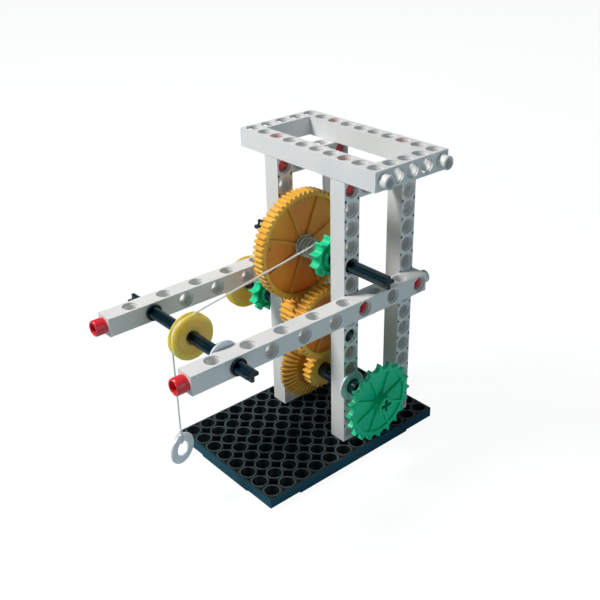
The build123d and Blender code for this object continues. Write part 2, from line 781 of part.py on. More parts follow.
with BuildPart() as guide_axle:
    with BuildSketch(facing_y(guide_x, guide_start_y, guide_z)):
        add(axle_sketch)
    extrude(amount=axle_length)

guide_axle.part.label = "guide_axle"
export_step(guide_axle.part, "parts/guide_axle.step")

with BuildPart() as guide_pulley:
    with BuildSketch(Plane(origin=(guide_x, 0, guide_z))):
        add(pulley_section(guide_pulley_radius, pulley_depth))
    revolve(axis=axle_line(guide_x, guide_z))
    with BuildSketch(facing_y(guide_x, pulley_depth, guide_z)):
        add(bore_sketch)
    extrude(amount=pulley_width, both=True, mode=Mode.SUBTRACT)

guide_pulley.part.label = "guide_pulley"
export_step(guide_pulley.part, "parts/guide_pulley.step")

with BuildPart() as guide_washer:
    with BuildSketch(facing_y(guide_x, guide_washer_y, guide_z)):
        Circle(washer_radius)
        Circle(washer_bore_radius, mode=Mode.SUBTRACT)
    extrude(amount=washer_thickness)

guide_washer.part.label = "guide_washer"
export_step(guide_washer.part, "parts/guide_washer.step")

with BuildPart() as guide_stop:
    with BuildSketch(Plane(origin=(guide_x, guide_stop_y, guide_z))):
        Polygon(
            (axle_radius + bush_bore_clearance, 0),
            (stop_radius, 0),
            (stop_radius, stop_length / 2),
            (stop_nose_radius, stop_length),
            (axle_radius + bush_bore_clearance, stop_length),
            align=None,
        )
    revolve(axis=axle_line(guide_x, guide_z))

guide_stop.part.label = "guide_stop"
export_step(guide_stop.part, "parts/guide_stop.step")

with BuildPart() as near_arm_collar:
    with BuildSketch(facing_y(guide_x, near_arm_outer_y - side_clearance, guide_z)):
        Circle(bush_radius)
        Circle(axle_radius + bush_bore_clearance, mode=Mode.SUBTRACT)
    extrude(amount=-collar_length)

near_arm_collar.part.label = "near_arm_collar"
export_step(near_arm_collar.part, "parts/near_arm_collar.step")

with BuildPart() as far_arm_collar:
    with BuildSketch(facing_y(guide_x, far_arm_inner_y - side_clearance, guide_z)):
        Circle(bush_radius)
        Circle(axle_radius + bush_bore_clearance, mode=Mode.SUBTRACT)
    extrude(amount=-collar_length)

far_arm_collar.part.label = "far_arm_collar"
export_step(far_arm_collar.part, "parts/far_arm_collar.step")

# String: tangent from the winding to the pulley, round its groove and straight down to the load
exit_y = winding_near_y + string_exit
exit_winding_radius = winding_near_radius + (winding_far_radius - winding_near_radius) * string_exit / winding_length
winch_turn_radius = exit_winding_radius + string_clearance + string_radius
pulley_turn_radius = guide_pulley_radius - groove_depth + string_clearance + string_radius
centre_distance = hypot(axle_x - guide_x, winch_z - guide_z)
slope = atan2(winch_z - guide_z, axle_x - guide_x) - asin((pulley_turn_radius - winch_turn_radius) / centre_distance)
string_start = (axle_x - winch_turn_radius * sin(slope), exit_y, winch_z + winch_turn_radius * cos(slope))
drop_x = guide_x - pulley_turn_radius
corner_z = string_start[2] - (string_start[0] - drop_x) * tan(slope)
drop_top_z = guide_z - string_split
load_top_z = load_height + washer_radius
drop_bottom_z = load_top_z + knot_length

with BuildPart() as string_run:
    with BuildLine() as run_line:
        FilletPolyline(
            string_start,
            (drop_x, pulley_depth, corner_z),
            (drop_x, pulley_depth, drop_top_z),
            radius=[pulley_turn_radius],
        )
    with BuildSketch(run_line.line ^ 0):
        Circle(string_radius)
    sweep()

string_run.part.label = "string_run"
export_step(string_run.part, "parts/string_run.step")

with BuildPart() as string_drop:
    with BuildSketch(Plane(origin=(drop_x, pulley_depth, drop_bottom_z))):
        Circle(string_radius)
    extrude(amount=drop_top_z - drop_bottom_z)

string_drop.part.label = "string_drop"
export_step(string_drop.part, "parts/string_drop.step")

# Load: a washer hung edge up, with the loop that ties it on and the knot above it
turn_cos = cos(radians(load_turn))
turn_sin = sin(radians(load_turn))
loop_z = load_height + (washer_radius + washer_bore_radius) / 2
load_plane = Plane(
    origin=(drop_x, pulley_depth, load_height),
    x_dir=(-turn_cos, -turn_sin, 0),
    z_dir=(-turn_sin, turn_cos, 0),
)
loop_plane = Plane(origin=(drop_x, pulley_depth, loop_z), x_dir=load_plane.z_dir, z_dir=load_plane.x_dir)
loop_inner_radius = (washer_radius - washer_bore_radius) / 2 + string_clearance
loop_outer_radius = loop_inner_radius + 2 * string_radius

with BuildPart() as weight_washer:
    with BuildSketch(load_plane):
        Circle(washer_radius)
        Circle(washer_bore_radius, mode=Mode.SUBTRACT)
    extrude(amount=washer_thickness / 2, both=True)

weight_washer.part.label = "weight_washer"
export_step(weight_washer.part, "parts/weight_washer.step")

with BuildPart() as weight_knot:
    with BuildSketch(loop_plane):
        Circle(loop_outer_radius)
        Circle(loop_inner_radius, mode=Mode.SUBTRACT)
    extrude(amount=string_radius, both=True)
    with BuildSketch(Plane(origin=(drop_x, pulley_depth, drop_bottom_z))):
        Circle(knot_radius)
    extrude(amount=-(knot_length - string_clearance - string_radius))

weight_knot.part.label = "weight_knot"
export_step(weight_knot.part, "parts/weight_knot.step")

run_length = sum(edge.length for edge in run_line.edges())
print(f"string arc radius {pulley_turn_radius:.2f}, start {string_start}, corner z {corner_z:.2f}")
print(f"string tube volume {string_run.part.volume:.3f}, section x length {pi * string_radius**2 * run_length:.3f}")
print(f"route length run {run_length:.2f}, drop {drop_top_z - drop_bottom_z:.2f}")
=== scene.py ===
"""Looks of the winch and pulley demonstrator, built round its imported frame.

Every sub-assembly is a class that holds its sizes in millimetres and builds and dresses its pieces.
X runs along the base plate, Y along the axles and Z up, with the origin under the plate's middle.
"""

import logging
import math
import random
from dataclasses import dataclass, field
from enum import Enum
from typing import ClassVar, Sequence

import bmesh
import bpy
from mathutils import Matrix, Vector

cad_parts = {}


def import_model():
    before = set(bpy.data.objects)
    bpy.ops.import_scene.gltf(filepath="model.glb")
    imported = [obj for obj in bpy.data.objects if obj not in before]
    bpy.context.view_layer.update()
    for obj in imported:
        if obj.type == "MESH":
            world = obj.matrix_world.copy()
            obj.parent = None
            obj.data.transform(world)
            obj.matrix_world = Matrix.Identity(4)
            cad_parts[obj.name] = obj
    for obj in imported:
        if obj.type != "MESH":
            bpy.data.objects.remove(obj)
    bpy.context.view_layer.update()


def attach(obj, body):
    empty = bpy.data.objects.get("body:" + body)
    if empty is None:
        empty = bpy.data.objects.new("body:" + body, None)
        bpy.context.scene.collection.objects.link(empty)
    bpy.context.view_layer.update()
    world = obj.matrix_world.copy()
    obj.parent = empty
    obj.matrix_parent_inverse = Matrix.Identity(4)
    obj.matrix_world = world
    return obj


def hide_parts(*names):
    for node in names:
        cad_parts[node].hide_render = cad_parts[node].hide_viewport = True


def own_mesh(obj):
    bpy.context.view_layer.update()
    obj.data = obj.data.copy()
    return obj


LOG = logging.getLogger("demonstrator")
Point = tuple[float, float]
Place = tuple[float, float, float]
Tint = tuple[float, float, float]

MM = 0.001
TURN = 2 * math.pi
# Edges sharper than this are rounded, or shaded as sharp.
SHARP = math.radians(35)
# Points closer than this many millimetres become one.
WELD = 1e-4
# Radius of the wheels' own holes, round the axle.
AXLE_HOLE = 3.6
# Places of a piece's finishes in its list.
FIRST, SECOND, THIRD = range(3)
# Radius and depth of the holes' mouths, by where the hole is.
SIDE_MOUTH: Point = (4.15, 1.2)
UPPER_MOUTH: Point = (3.95, 1.0)
FINE_MOUTH: Point = (3.9, 0.9)
END_MOUTH: Point = (4.0, 1.0)
PEG_MOUTH: Point = (3.7, 0.3)


class Body(Enum):
    """Bodies that the pieces ride on."""

    ROOT = "root"
    WINCH = "winch"
    INTERMEDIATE = "intermediate"
    CRANK = "crank"
    GUIDE = "guide"
    WEIGHT = "weight"


class Slot(Enum):
    """Material slots of the record."""

    FRAME = "frame_white"
    BASE = "black_base"
    AXLE = "black_axle"
    GEAR = "orange_gear"
    SPROCKET = "green_sprocket"
    PULLEY = "yellow_pulley"
    PEG = "red_peg"
    WASHER = "white_washer"
    STRING = "string"


class Toward(Enum):
    """Ways into a solid, each as the turn that brings +Y there."""

    RIGHT = (-math.pi / 2, "Z")
    BACK = (0.0, "X")
    FRONT = (math.pi, "X")
    UP = (math.pi / 2, "X")
    DOWN = (-math.pi / 2, "X")


# ---------------------------------------------------------------------------------------------
# Shader groups and finishes
# ---------------------------------------------------------------------------------------------


def new_group(name: str, inputs: dict[str, object], outputs: dict[str, str]) -> bpy.types.ShaderNodeTree:
    """Makes a shader node group with named sockets.

    Args:
        name: the group's name.
        inputs: socket name to default value; a tuple makes a colour socket and a number a float socket.
        outputs: socket name to socket type.

    Returns:
        The empty group, with its input and output nodes placed.
    """
    group = bpy.data.node_groups.new(name, "ShaderNodeTree")
    for label, value in inputs.items():
        kind = "NodeSocketColor" if isinstance(value, tuple) else "NodeSocketFloat"
        socket = group.interface.new_socket(label, in_out="INPUT", socket_type=kind)
        socket.default_value = value
    for label, kind in outputs.items():
        group.interface.new_socket(label, in_out="OUTPUT", socket_type=kind)
    group.nodes.new("NodeGroupInput").name = "In"
    group.nodes.new("NodeGroupOutput").name = "Out"
    return group


def mottle_group() -> bpy.types.ShaderNodeTree:
    """Makes the group that mixes two tints by slow noise, and varies the roughness with it.

    Returns:
        The group.
    """
    group = new_group(
        "plastic_mottle",
        {
            "Tint": (1, 1, 1, 1),
            "Deep Tint": (1, 1, 1, 1),
            "Scale": 60.0,
            "Roughness": 0.4,
            "Spread": 0.1,
        },
        {"Color": "NodeSocketColor", "Roughness": "NodeSocketFloat"},
    )
    nodes, links = group.nodes, group.links
    place = nodes.new("ShaderNodeTexCoord")
    noise = nodes.new("ShaderNodeTexNoise")
    noise.inputs["Detail"].default_value = 4.0
    ramp = nodes.new("ShaderNodeMapRange")
    ramp.inputs["From Min"].default_value = 0.35
    ramp.inputs["From Max"].default_value = 0.7
    mix = nodes.new("ShaderNodeMix")
    mix.data_type = "RGBA"
    vary = nodes.new("ShaderNodeMath")
    vary.operation = "MULTIPLY_ADD"
    links.new(place.outputs["Object"], noise.inputs["Vector"])
    links.new(nodes["In"].outputs["Scale"], noise.inputs["Scale"])
    links.new(noise.outputs["Fac"], ramp.inputs["Value"])
    links.new(ramp.outputs["Result"], mix.inputs["Factor"])
    links.new(nodes["In"].outputs["Tint"], mix.inputs["A"])
    links.new(nodes["In"].outputs["Deep Tint"], mix.inputs["B"])
    links.new(noise.outputs["Fac"], vary.inputs[0])
    links.new(nodes["In"].outputs["Spread"], vary.inputs[1])
    links.new(nodes["In"].outputs["Roughness"], vary.inputs[2])
    links.new(mix.outputs["Result"], nodes["Out"].inputs["Color"])
    links.new(vary.outputs["Value"], nodes["Out"].inputs["Roughness"])
    return group


def skin_group() -> bpy.types.ShaderNodeTree:
    """Makes the group that gives the height of a moulded skin: faint grain over slow sink waves.

    Returns:
        The group.
    """
    group = new_group(
        "moulded_skin",
        {"Grain Scale": 900.0, "Wave Scale": 45.0, "Grain Share": 0.3},
        {"Height": "NodeSocketFloat"},
    )
    nodes, links = group.nodes, group.links
    place = nodes.new("ShaderNodeTexCoord")
    grain = nodes.new("ShaderNodeTexNoise")
    wave = nodes.new("ShaderNodeTexNoise")
    mix = nodes.new("ShaderNodeMix")
    links.new(place.outputs["Object"], grain.inputs["Vector"])
    links.new(place.outputs["Object"], wave.inputs["Vector"])
    links.new(nodes["In"].outputs["Grain Scale"], grain.inputs["Scale"])
    links.new(nodes["In"].outputs["Wave Scale"], wave.inputs["Scale"])
    links.new(nodes["In"].outputs["Grain Share"], mix.inputs["Factor"])
    links.new(wave.outputs["Fac"], mix.inputs["A"])
    links.new(grain.outputs["Fac"], mix.inputs["B"])
    links.new(mix.outputs["Result"], nodes["Out"].inputs["Height"])
    return group


@dataclass(frozen=True)
class Finish:
    """A moulded plastic finish.

    Attributes:
        name: the material's name.
        tint: main colour, linear.
        deep: second colour that the mottle fades to, linear.
        roughness: base roughness.
        spread: how much the roughness varies.
        mottle_scale: scale of the colour noise.
        grain: strength of the skin's bump.
        clear: share of subsurface light, for plastics that let light in.
        reach: how far light travels inside, in millimetres.
        coat: weight of the glossy coat.
        through: share of transmitted light.
        shine: strength of the plain reflections.
    """

    name: str
    tint: Tint
    deep: Tint
    roughness: float = 0.4
    spread: float = 0.1
    mottle_scale: float = 60.0
    grain: float = 0.08
    clear: float = 0.0
    reach: float = 1.0
    coat: float = 0.0
    through: float = 0.0
    shine: float = 0.5

    def material(self) -> bpy.types.Material:
        """Makes the finish's material, or finds the one made before.

        Returns:
            The material.
        """
        made = bpy.data.materials.get(self.name)
        if made is not None:
            return made
        made = bpy.data.materials.new(self.name)
        made.use_nodes = True
        nodes, links = made.node_tree.nodes, made.node_tree.links
        shader = nodes["Principled BSDF"]
        mottle = nodes.new("ShaderNodeGroup")
        mottle.node_tree = bpy.data.node_groups.get("plastic_mottle") or mottle_group()
        mottle.inputs["Tint"].default_value = (*self.tint, 1)
        mottle.inputs["Deep Tint"].default_value = (*self.deep, 1)
        mottle.inputs["Scale"].default_value = self.mottle_scale
        mottle.inputs["Roughness"].default_value = self.roughness
        mottle.inputs["Spread"].default_value = self.spread
        skin = nodes.new("ShaderNodeGroup")
        skin.node_tree = bpy.data.node_groups.get("moulded_skin") or skin_group()
        bump = nodes.new("ShaderNodeBump")
        bump.inputs["Strength"].default_value = self.grain
        bump.inputs["Distance"].default_value = 0.0004
        links.new(mottle.outputs["Color"], shader.inputs["Base Color"])
        links.new(mottle.outputs["Roughness"], shader.inputs["Roughness"])
        links.new(skin.outputs["Height"], bump.inputs["Height"])
        links.new(bump.outputs["Normal"], shader.inputs["Normal"])
        shader.inputs["Subsurface Weight"].default_value = self.clear
        shader.inputs["Subsurface Radius"].default_value = (1.0, 0.6, 0.35)
        shader.inputs["Subsurface Scale"].default_value = self.reach * MM
        shader.inputs["Coat Weight"].default_value = self.coat
        shader.inputs["Coat Roughness"].default_value = 0.12
        shader.inputs["Transmission Weight"].default_value = self.through
        shader.inputs["Specular IOR Level"].default_value = self.shine
        return made


FRAME_WHITE = Finish(
    "frame_plastic", tint=(0.78, 0.775, 0.765), deep=(0.73, 0.735, 0.73),
    roughness=0.36, spread=0.14, mottle_scale=40, grain=0.10, clear=0.05, coat=0.08,
)
# Near-black finish for the frames' small triangular pits: painted shade in the recesses of the white
# plastic.
PIT_PAINTED_SHADE = Finish(
    "frame_pit_painted_shade", tint=(0.05, 0.07, 0.085), deep=(0.03, 0.045, 0.06),
    roughness=0.6,
)
BASE_BLACK = Finish(
    "base_plastic", tint=(0.006, 0.013, 0.015), deep=(0.009, 0.018, 0.021),
    spread=0.15, mottle_scale=50, grain=0.10, shine=0.4,
)
RIM_GREY = Finish(
    "base_rim_plastic", tint=(0.085, 0.12, 0.13), deep=(0.035, 0.055, 0.062),
    roughness=0.3, spread=0.2, mottle_scale=300, grain=0.15,
)
# Lighter, bluer finish for the plate's outer sides than for its top: painted light on the sides.
BASE_SIDE_PAINTED_LIGHT = Finish(
    "base_side_painted_light", tint=(0.012, 0.080, 0.125), deep=(0.008, 0.060, 0.09),
    roughness=0.45, spread=0.15, grain=0.10, shine=0.15,
)
AXLE_BLACK = Finish(
    "axle_plastic", tint=(0.002, 0.014, 0.022), deep=(0.003, 0.019, 0.030),
    roughness=0.14, spread=0.06, mottle_scale=80, grain=0.04,
)
GEAR_ORANGE = Finish(
    "gear_plastic", tint=(0.86, 0.50, 0.07), deep=(0.78, 0.38, 0.04),
    roughness=0.26, spread=0.12, mottle_scale=70, grain=0.06, clear=0.15, reach=1.2, coat=0.2,
)
WEB_ORANGE = Finish(
    "gear_web_plastic", tint=(0.74, 0.38, 0.045), deep=(0.68, 0.20, 0.025),
    roughness=0.34, spread=0.12, mottle_scale=32, grain=0.06, clear=0.85, reach=3.6, coat=0.1,
)
RIB_ORANGE = Finish(
    "gear_rib_plastic", tint=(0.80, 0.37, 0.05), deep=(0.72, 0.26, 0.03),
    roughness=0.3, grain=0.06,
)
# Darker orange for the crown gear's grooves: painted shade where the ridges shade each other.
GROOVE_PAINTED_SHADE = Finish(
    "gear_groove_painted_shade", tint=(0.62, 0.25, 0.025), deep=(0.54, 0.18, 0.02),
)
GREEN = Finish(
    "sprocket_plastic", tint=(0.010, 0.66, 0.33), deep=(0.006, 0.56, 0.27),
    roughness=0.26, spread=0.12, mottle_scale=70, grain=0.06, clear=0.3, reach=1.6, shine=0.35,
)
YELLOW = Finish(
    "pulley_plastic", tint=(0.89, 0.67, 0.12), deep=(0.86, 0.59, 0.08),
    roughness=0.16, spread=0.08, grain=0.05, clear=0.9, reach=6.0, coat=0.4,
)
RED = Finish(
    "peg_plastic", tint=(0.80, 0.035, 0.052), deep=(0.68, 0.020, 0.034),
    roughness=0.24, mottle_scale=80, grain=0.06, clear=0.1, reach=0.8, coat=0.2,
)
WASHER_ICE = Finish(
    "washer_plastic", tint=(0.82, 0.89, 0.99), deep=(0.76, 0.84, 0.96),
    roughness=0.24, mottle_scale=120, grain=0.05, clear=0.45, reach=2.0, coat=0.2, through=0.1,
)
COTTON = Finish(
    "cotton_string", tint=(0.90, 0.88, 0.83), deep=(0.80, 0.78, 0.72),
    roughness=0.8, spread=0.15, mottle_scale=900, grain=0.5, clear=0.15, reach=0.4,
)
# Dark cotton for the sleeve under the winding: painted shade between the turns.
COTTON_PAINTED_SHADE = Finish(
    "cotton_shadow", tint=(0.16, 0.155, 0.145), deep=(0.10, 0.095, 0.09),
    roughness=0.9,
)


# ---------------------------------------------------------------------------------------------
# Mesh building
# ---------------------------------------------------------------------------------------------


def verts_of(made: dict[str, list]) -> list[bmesh.types.BMVert]:
    """Returns the vertices among an operator's results."""
    return [v for v in made["geom"] if isinstance(v, bmesh.types.BMVert)]


def edges_of(made: dict[str, list]) -> list[bmesh.types.BMEdge]:
    """Returns the edges among an operator's results."""
    return [e for e in made["geom"] if isinstance(e, bmesh.types.BMEdge)]


def ring_profile(bore: float, radius: float, low: float, high: float, edge: float) -> list[Point]:
    """Profile of a turned ring with broken edges.

    Args:
        bore: its bore's radius.
        radius: its outer radius.
        low: depth of its near face.
        high: depth of its far face.
        edge: size of its broken edges.

    Returns:
        The profile as (radius, depth) points.
    """
    return [
        (bore, low + edge),
        (bore + edge, low),
        (radius - edge, low),
        (radius, low + edge),
        (radius, high - edge),
        (radius - edge, high),
        (bore + edge, high),
        (bore, high - edge),
    ]


class Form:
    """A mesh under construction, in millimetres, with the Y axis as its axle."""

    def __init__(self) -> None:
        """Starts an empty mesh."""
        self.bm = bmesh.new()

    def _settle(self, verts: Sequence[bmesh.types.BMVert], at: Place, material: int = FIRST) -> None:
        """Moves newly made vertices into place and gives their faces a finish.

        Args:
            verts: the new vertices.
            at: where their origin goes.
            material: place of their faces' finish among the piece's finishes.
        """
        bmesh.ops.translate(self.bm, verts=verts, vec=at)
        for face in {f for v in verts for f in v.link_faces}:
            face.material_index = material

    def _fresh(self, before: set[bmesh.types.BMVert]) -> list[bmesh.types.BMVert]:
        """Returns the vertices that weren't there before."""
        return [v for v in self.bm.verts if v not in before]

    def add(self, other: "Form") -> None:
        """Adds another form's mesh to this one.

        Args:
            other: the form to add. It is used up.
        """
        mesh = bpy.data.meshes.new("part")
        other.bm.to_mesh(mesh)
        other.bm.free()
        self.bm.from_mesh(mesh)
        bpy.data.meshes.remove(mesh)

    def turn(self, angle: float, axis: str) -> None:
        """Turns the whole form about an axis through the origin, by an angle in radians."""
        rotation = Matrix.Rotation(angle, 3, axis)
        bmesh.ops.rotate(self.bm, verts=self.bm.verts, cent=(0, 0, 0), matrix=rotation)

    def move(self, by: Place) -> None:
        """Moves the whole form."""
        bmesh.ops.translate(self.bm, verts=self.bm.verts, vec=by)

    def spin(self, geom: Sequence[object], angle: float, steps: int, copies: bool = False) -> None:
        """Spins geometry round the Y axis.

        Args:
            geom: what to spin.
            angle: how far, in radians.
            steps: number of steps.
            copies: leaves copies of the faces, instead of sweeping them into a joined skin.
        """
        bmesh.ops.spin(
            self.bm,
            geom=geom,
            cent=(0, 0, 0),
            axis=(0, 1, 0),
            dvec=(0, 0, 0),
            angle=angle,
            steps=steps,
            use_merge=not copies,
            use_normal_flip=False,
            use_duplicate=copies,
        )

    def lathe(
        self,
        profile: Sequence[Point],
        at: Place = (0, 0, 0),
        steps: int = 64,
        material: int = FIRST,
        closed: bool = True,
    ) -> None:
        """Spins a profile of (radius, depth) points round the Y axis.

        Args:
            profile: the points, in order round the section.
            at: where the profile's origin goes.
            steps: number of steps round.
            material: place of its finish among the piece's finishes.
            closed: joins the last point to the first, for a ring.
        """
        before = set(self.bm.verts)
        verts = [self.bm.verts.new((r, y, 0)) for r, y in profile]
        pairs = list(zip(verts, verts[1:])) + ([(verts[-1], verts[0])] if closed else [])
        edges = [self.bm.edges.new(p) for p in pairs]
        self.spin(verts + edges, TURN, steps)
        bmesh.ops.remove_doubles(self.bm, verts=self._fresh(before), dist=WELD)
        self._settle(self._fresh(before), at, material)

    def rod(
        self,
        radius: float,
        length: float,
        at: Place,
        upright: bool = False,
        sides: int = 32,
        material: int = FIRST,
    ) -> None:
        """Adds a closed cylinder that starts at a point and runs along Y, or along Z.

        Args:
            radius: its radius.
            length: its length.
            at: middle of its first end.
            upright: runs it along Z.
            sides: number of sides.
            material: place of its finish among the piece's finishes.
        """
        turn = Matrix.Identity(4) if upright else Matrix.Rotation(-math.pi / 2, 4, "X")
        made = bmesh.ops.create_cone(
            self.bm,
            cap_ends=True,
            segments=sides,
            radius1=radius,
            radius2=radius,
            depth=length,
            matrix=turn @ Matrix.Translation((0, 0, length / 2)),
        )
        self._settle(made["verts"], at, material)

    def hole(
        self,
        at: Place,
        toward: Toward,
        depth: float,
        mouth: Point = SIDE_MOUTH,
        bore: float = 3.65,
        blind: bool = False,
    ) -> None:
        """Adds the knife of a hole whose mouths are wider than its bore.

        Args:
            at: middle of the mouth.
            toward: way into the solid.
            depth: depth of the hole.
            mouth: radius and depth of the mouth.
            bore: radius of the bore.
            blind: leaves the far end closed.
        """
        wide, step = mouth
        out = [(bore, depth), (0, depth)]
        if not blind:
            out = [(bore, depth - step), (wide, depth - step), (wide, depth + 1), (0, depth + 1)]
        knife = Form()
        knife.lathe([(0, -1), (wide, -1), (wide, step), (bore, step), *out], steps=40, closed=False)
        knife.turn(*toward.value)
        knife.move(at)
        self.add(knife)

    def block(self, low: Place, high: Place, material: int = FIRST) -> None:
        """Adds a box between two corners.

        Args:
            low: its lowest corner.
            high: its highest corner.
            material: place of its finish among the piece's finishes.
        """
        size = [b - a for a, b in zip(low, high)]
        middle = tuple((a + b) / 2 for a, b in zip(low, high))
        made = bmesh.ops.create_cube(self.bm, size=1.0, matrix=Matrix.Diagonal((*size, 1)))
        self._settle(made["verts"], middle, material)

    def prism(
        self,
        outline: Sequence[Place],
        push: Place,
        at: Place = (0, 0, 0),
        material: int = FIRST,
    ) -> None:
        """Extrudes a flat outline.

        Args:
            outline: the corners of the outline.
            push: direction and length of the extrusion.
            at: where the outline's origin goes.
            material: place of its finish among the piece's finishes.
        """
        before = set(self.bm.verts)
        face = self.bm.faces.new([self.bm.verts.new(p) for p in outline])
        made = bmesh.ops.extrude_face_region(self.bm, geom=[face], use_keep_orig=True)
        bmesh.ops.translate(self.bm, verts=verts_of(made), vec=push)
        self._settle(self._fresh(before), at, material)

    def sectors(
        self,
        outline: Sequence[Point],
        count: int,
        width: float,
        at: Place,
        first: float,
    ) -> None:
        """Repeats one flat sector round the axle and gives the ring its width.

        Args:
            outline: the sector's corners as (radius, angle), angles in radians from the tooth's middle.
            count: how many sectors make the full turn.
            width: the ring's width along Y.
            at: middle of the ring's near face.
            first: angle of the first tooth from +X towards +Z, in degrees.
        """
        before = set(self.bm.verts)
        start = math.radians(first)
        corners = [(r * math.cos(a + start), 0, r * math.sin(a + start)) for r, a in outline]
        face = self.bm.faces.new([self.bm.verts.new(c) for c in corners])
        self.spin([face], TURN * (count - 1) / count, count - 1, copies=True)
        bmesh.ops.remove_doubles(self.bm, verts=self._fresh(before), dist=WELD)
        faces = list({f for v in self._fresh(before) for f in v.link_faces})
        made = bmesh.ops.extrude_face_region(self.bm, geom=faces, use_keep_orig=True)
        bmesh.ops.translate(self.bm, verts=verts_of(made), vec=(0, width, 0))
        self._settle(self._fresh(before), at)

    def piece(
        self,
        name: str,
        body: Body,
        slot: Slot,
        finishes: Sequence[Finish],
        node: str,
        bevel: float = 0.0,
        segments: int = 2,
    ) -> bpy.types.Object:
        """Turns the mesh into a finished piece that rides on a body.

        Args:
            name: the piece's name.
            body: the body that it rides on.
            slot: the record's material slot; not used.
            finishes: its finishes, in material order.
            node: CAD node that it stands for.
            bevel: width of its rounded edges in millimetres, or 0.
            segments: segments of the rounding.

        Returns:
            The object.
        """
        made = self.plain(name, MM)
        for finish in finishes:
            made.data.materials.append(finish.material())
        round_edges(made, bevel, segments)
        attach(made, body.value)
        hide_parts(node)
        LOG.info("built %s on %s", made.name, body.value)
        return made

    def plain(self, name: str, unit: float = 1.0) -> bpy.types.Object:
        """Turns the mesh into a plain object. The form is used up.

        Args:
            name: the object's name.
            unit: length that stands for a millimetre.

        Returns:
            The object.
        """
        bmesh.ops.recalc_face_normals(self.bm, faces=self.bm.faces)
        bmesh.ops.scale(self.bm, vec=(unit, unit, unit), verts=self.bm.verts)
        mesh = bpy.data.meshes.new(name)
        self.bm.to_mesh(mesh)
        self.bm.free()
        made = bpy.data.objects.new(name, mesh)
        bpy.context.scene.collection.objects.link(made)
        return made

    def carve(self, tool: "Form") -> "Form":
        """Cuts another form out of this one.

        Args:
            tool: the form to remove. It is used up.

        Returns:
            The carved form.
        """
        block, knife = self.plain("blank"), tool.plain("knife")
        cut = block.modifiers.new("cut", "BOOLEAN")
        cut.operation = "DIFFERENCE"
        cut.solver = "EXACT"
        cut.object = knife
        cut.material_mode = "INDEX"
        graph = bpy.context.evaluated_depsgraph_get()
        done = bpy.data.meshes.new_from_object(block.evaluated_get(graph))
        carved = Form()
        carved.bm.from_mesh(done)
        bmesh.ops.remove_doubles(carved.bm, verts=carved.bm.verts, dist=WELD)
        for used in (block, knife):
            bpy.data.objects.remove(used)
        return carved


def round_edges(made: bpy.types.Object, bevel: float, segments: int) -> None:
    """Smooths a piece and rounds its edges, or keeps them sharp.

    Args:
        made: the piece.
        bevel: width of its rounded edges in millimetres, or 0.
        segments: segments of the rounding.
    """
    made.data.shade_smooth()
    if not bevel:
        made.data.set_sharp_from_angle(angle=SHARP)
        return
    edge = made.modifiers.new("edges", "BEVEL")
    edge.width = bevel * MM
    edge.segments = segments
    edge.limit_method = "ANGLE"
    edge.angle_limit = SHARP
    edge.harden_normals = True
    edge.use_clamp_overlap = True


def cross_outline(radius: float, lobe: float) -> list[Place]:
    """Outline of the plus-shaped axle, in the XZ plane.

    Args:
        radius: radius of the lobes' ends.
        lobe: width of a lobe.

    Returns:
        The corners, in order.
    """
    half = lobe / 2
    edge = math.asin(half / radius)
    corners: list[Place] = []
    for quarter in range(4):
        turn = quarter * math.pi / 2
        for share in (-1.0, -0.4, 0.4, 1.0):
            a = turn + share * edge
            corners.append((radius * math.cos(a), 0, radius * math.sin(a)))
        a = turn + math.pi / 4
        reach = half * math.sqrt(2)
        corners.append((reach * math.cos(a), 0, reach * math.sin(a)))
    return corners


# ---------------------------------------------------------------------------------------------
# Structure
# ---------------------------------------------------------------------------------------------


@dataclass(frozen=True)
class Grid:
    pitch: float = 10.0
    deck: float = 7.0
    near_y: float = -25.0
    far_y: float = 25.0
    pillar_x: float = 5.0
    frame_top: float = 157.0
    arm_level: float = 92.0
    arm_y: float = 35.0
    winch: Point = (5.0, 112.0)
    intermediate: Point = (5.0, 72.0)
    crank: Point = (5.0, 42.0)
    guide: Point = (-75.0, 92.0)


GRID = Grid()
BEAM = GRID.pitch
HALF = BEAM / 2
ACROSS = [GRID.pillar_x + BEAM * cell for cell in range(5)]
PILLARS = (ACROSS[0], ACROSS[-1])
BETWEEN_PILLARS = ACROSS[1:-1]


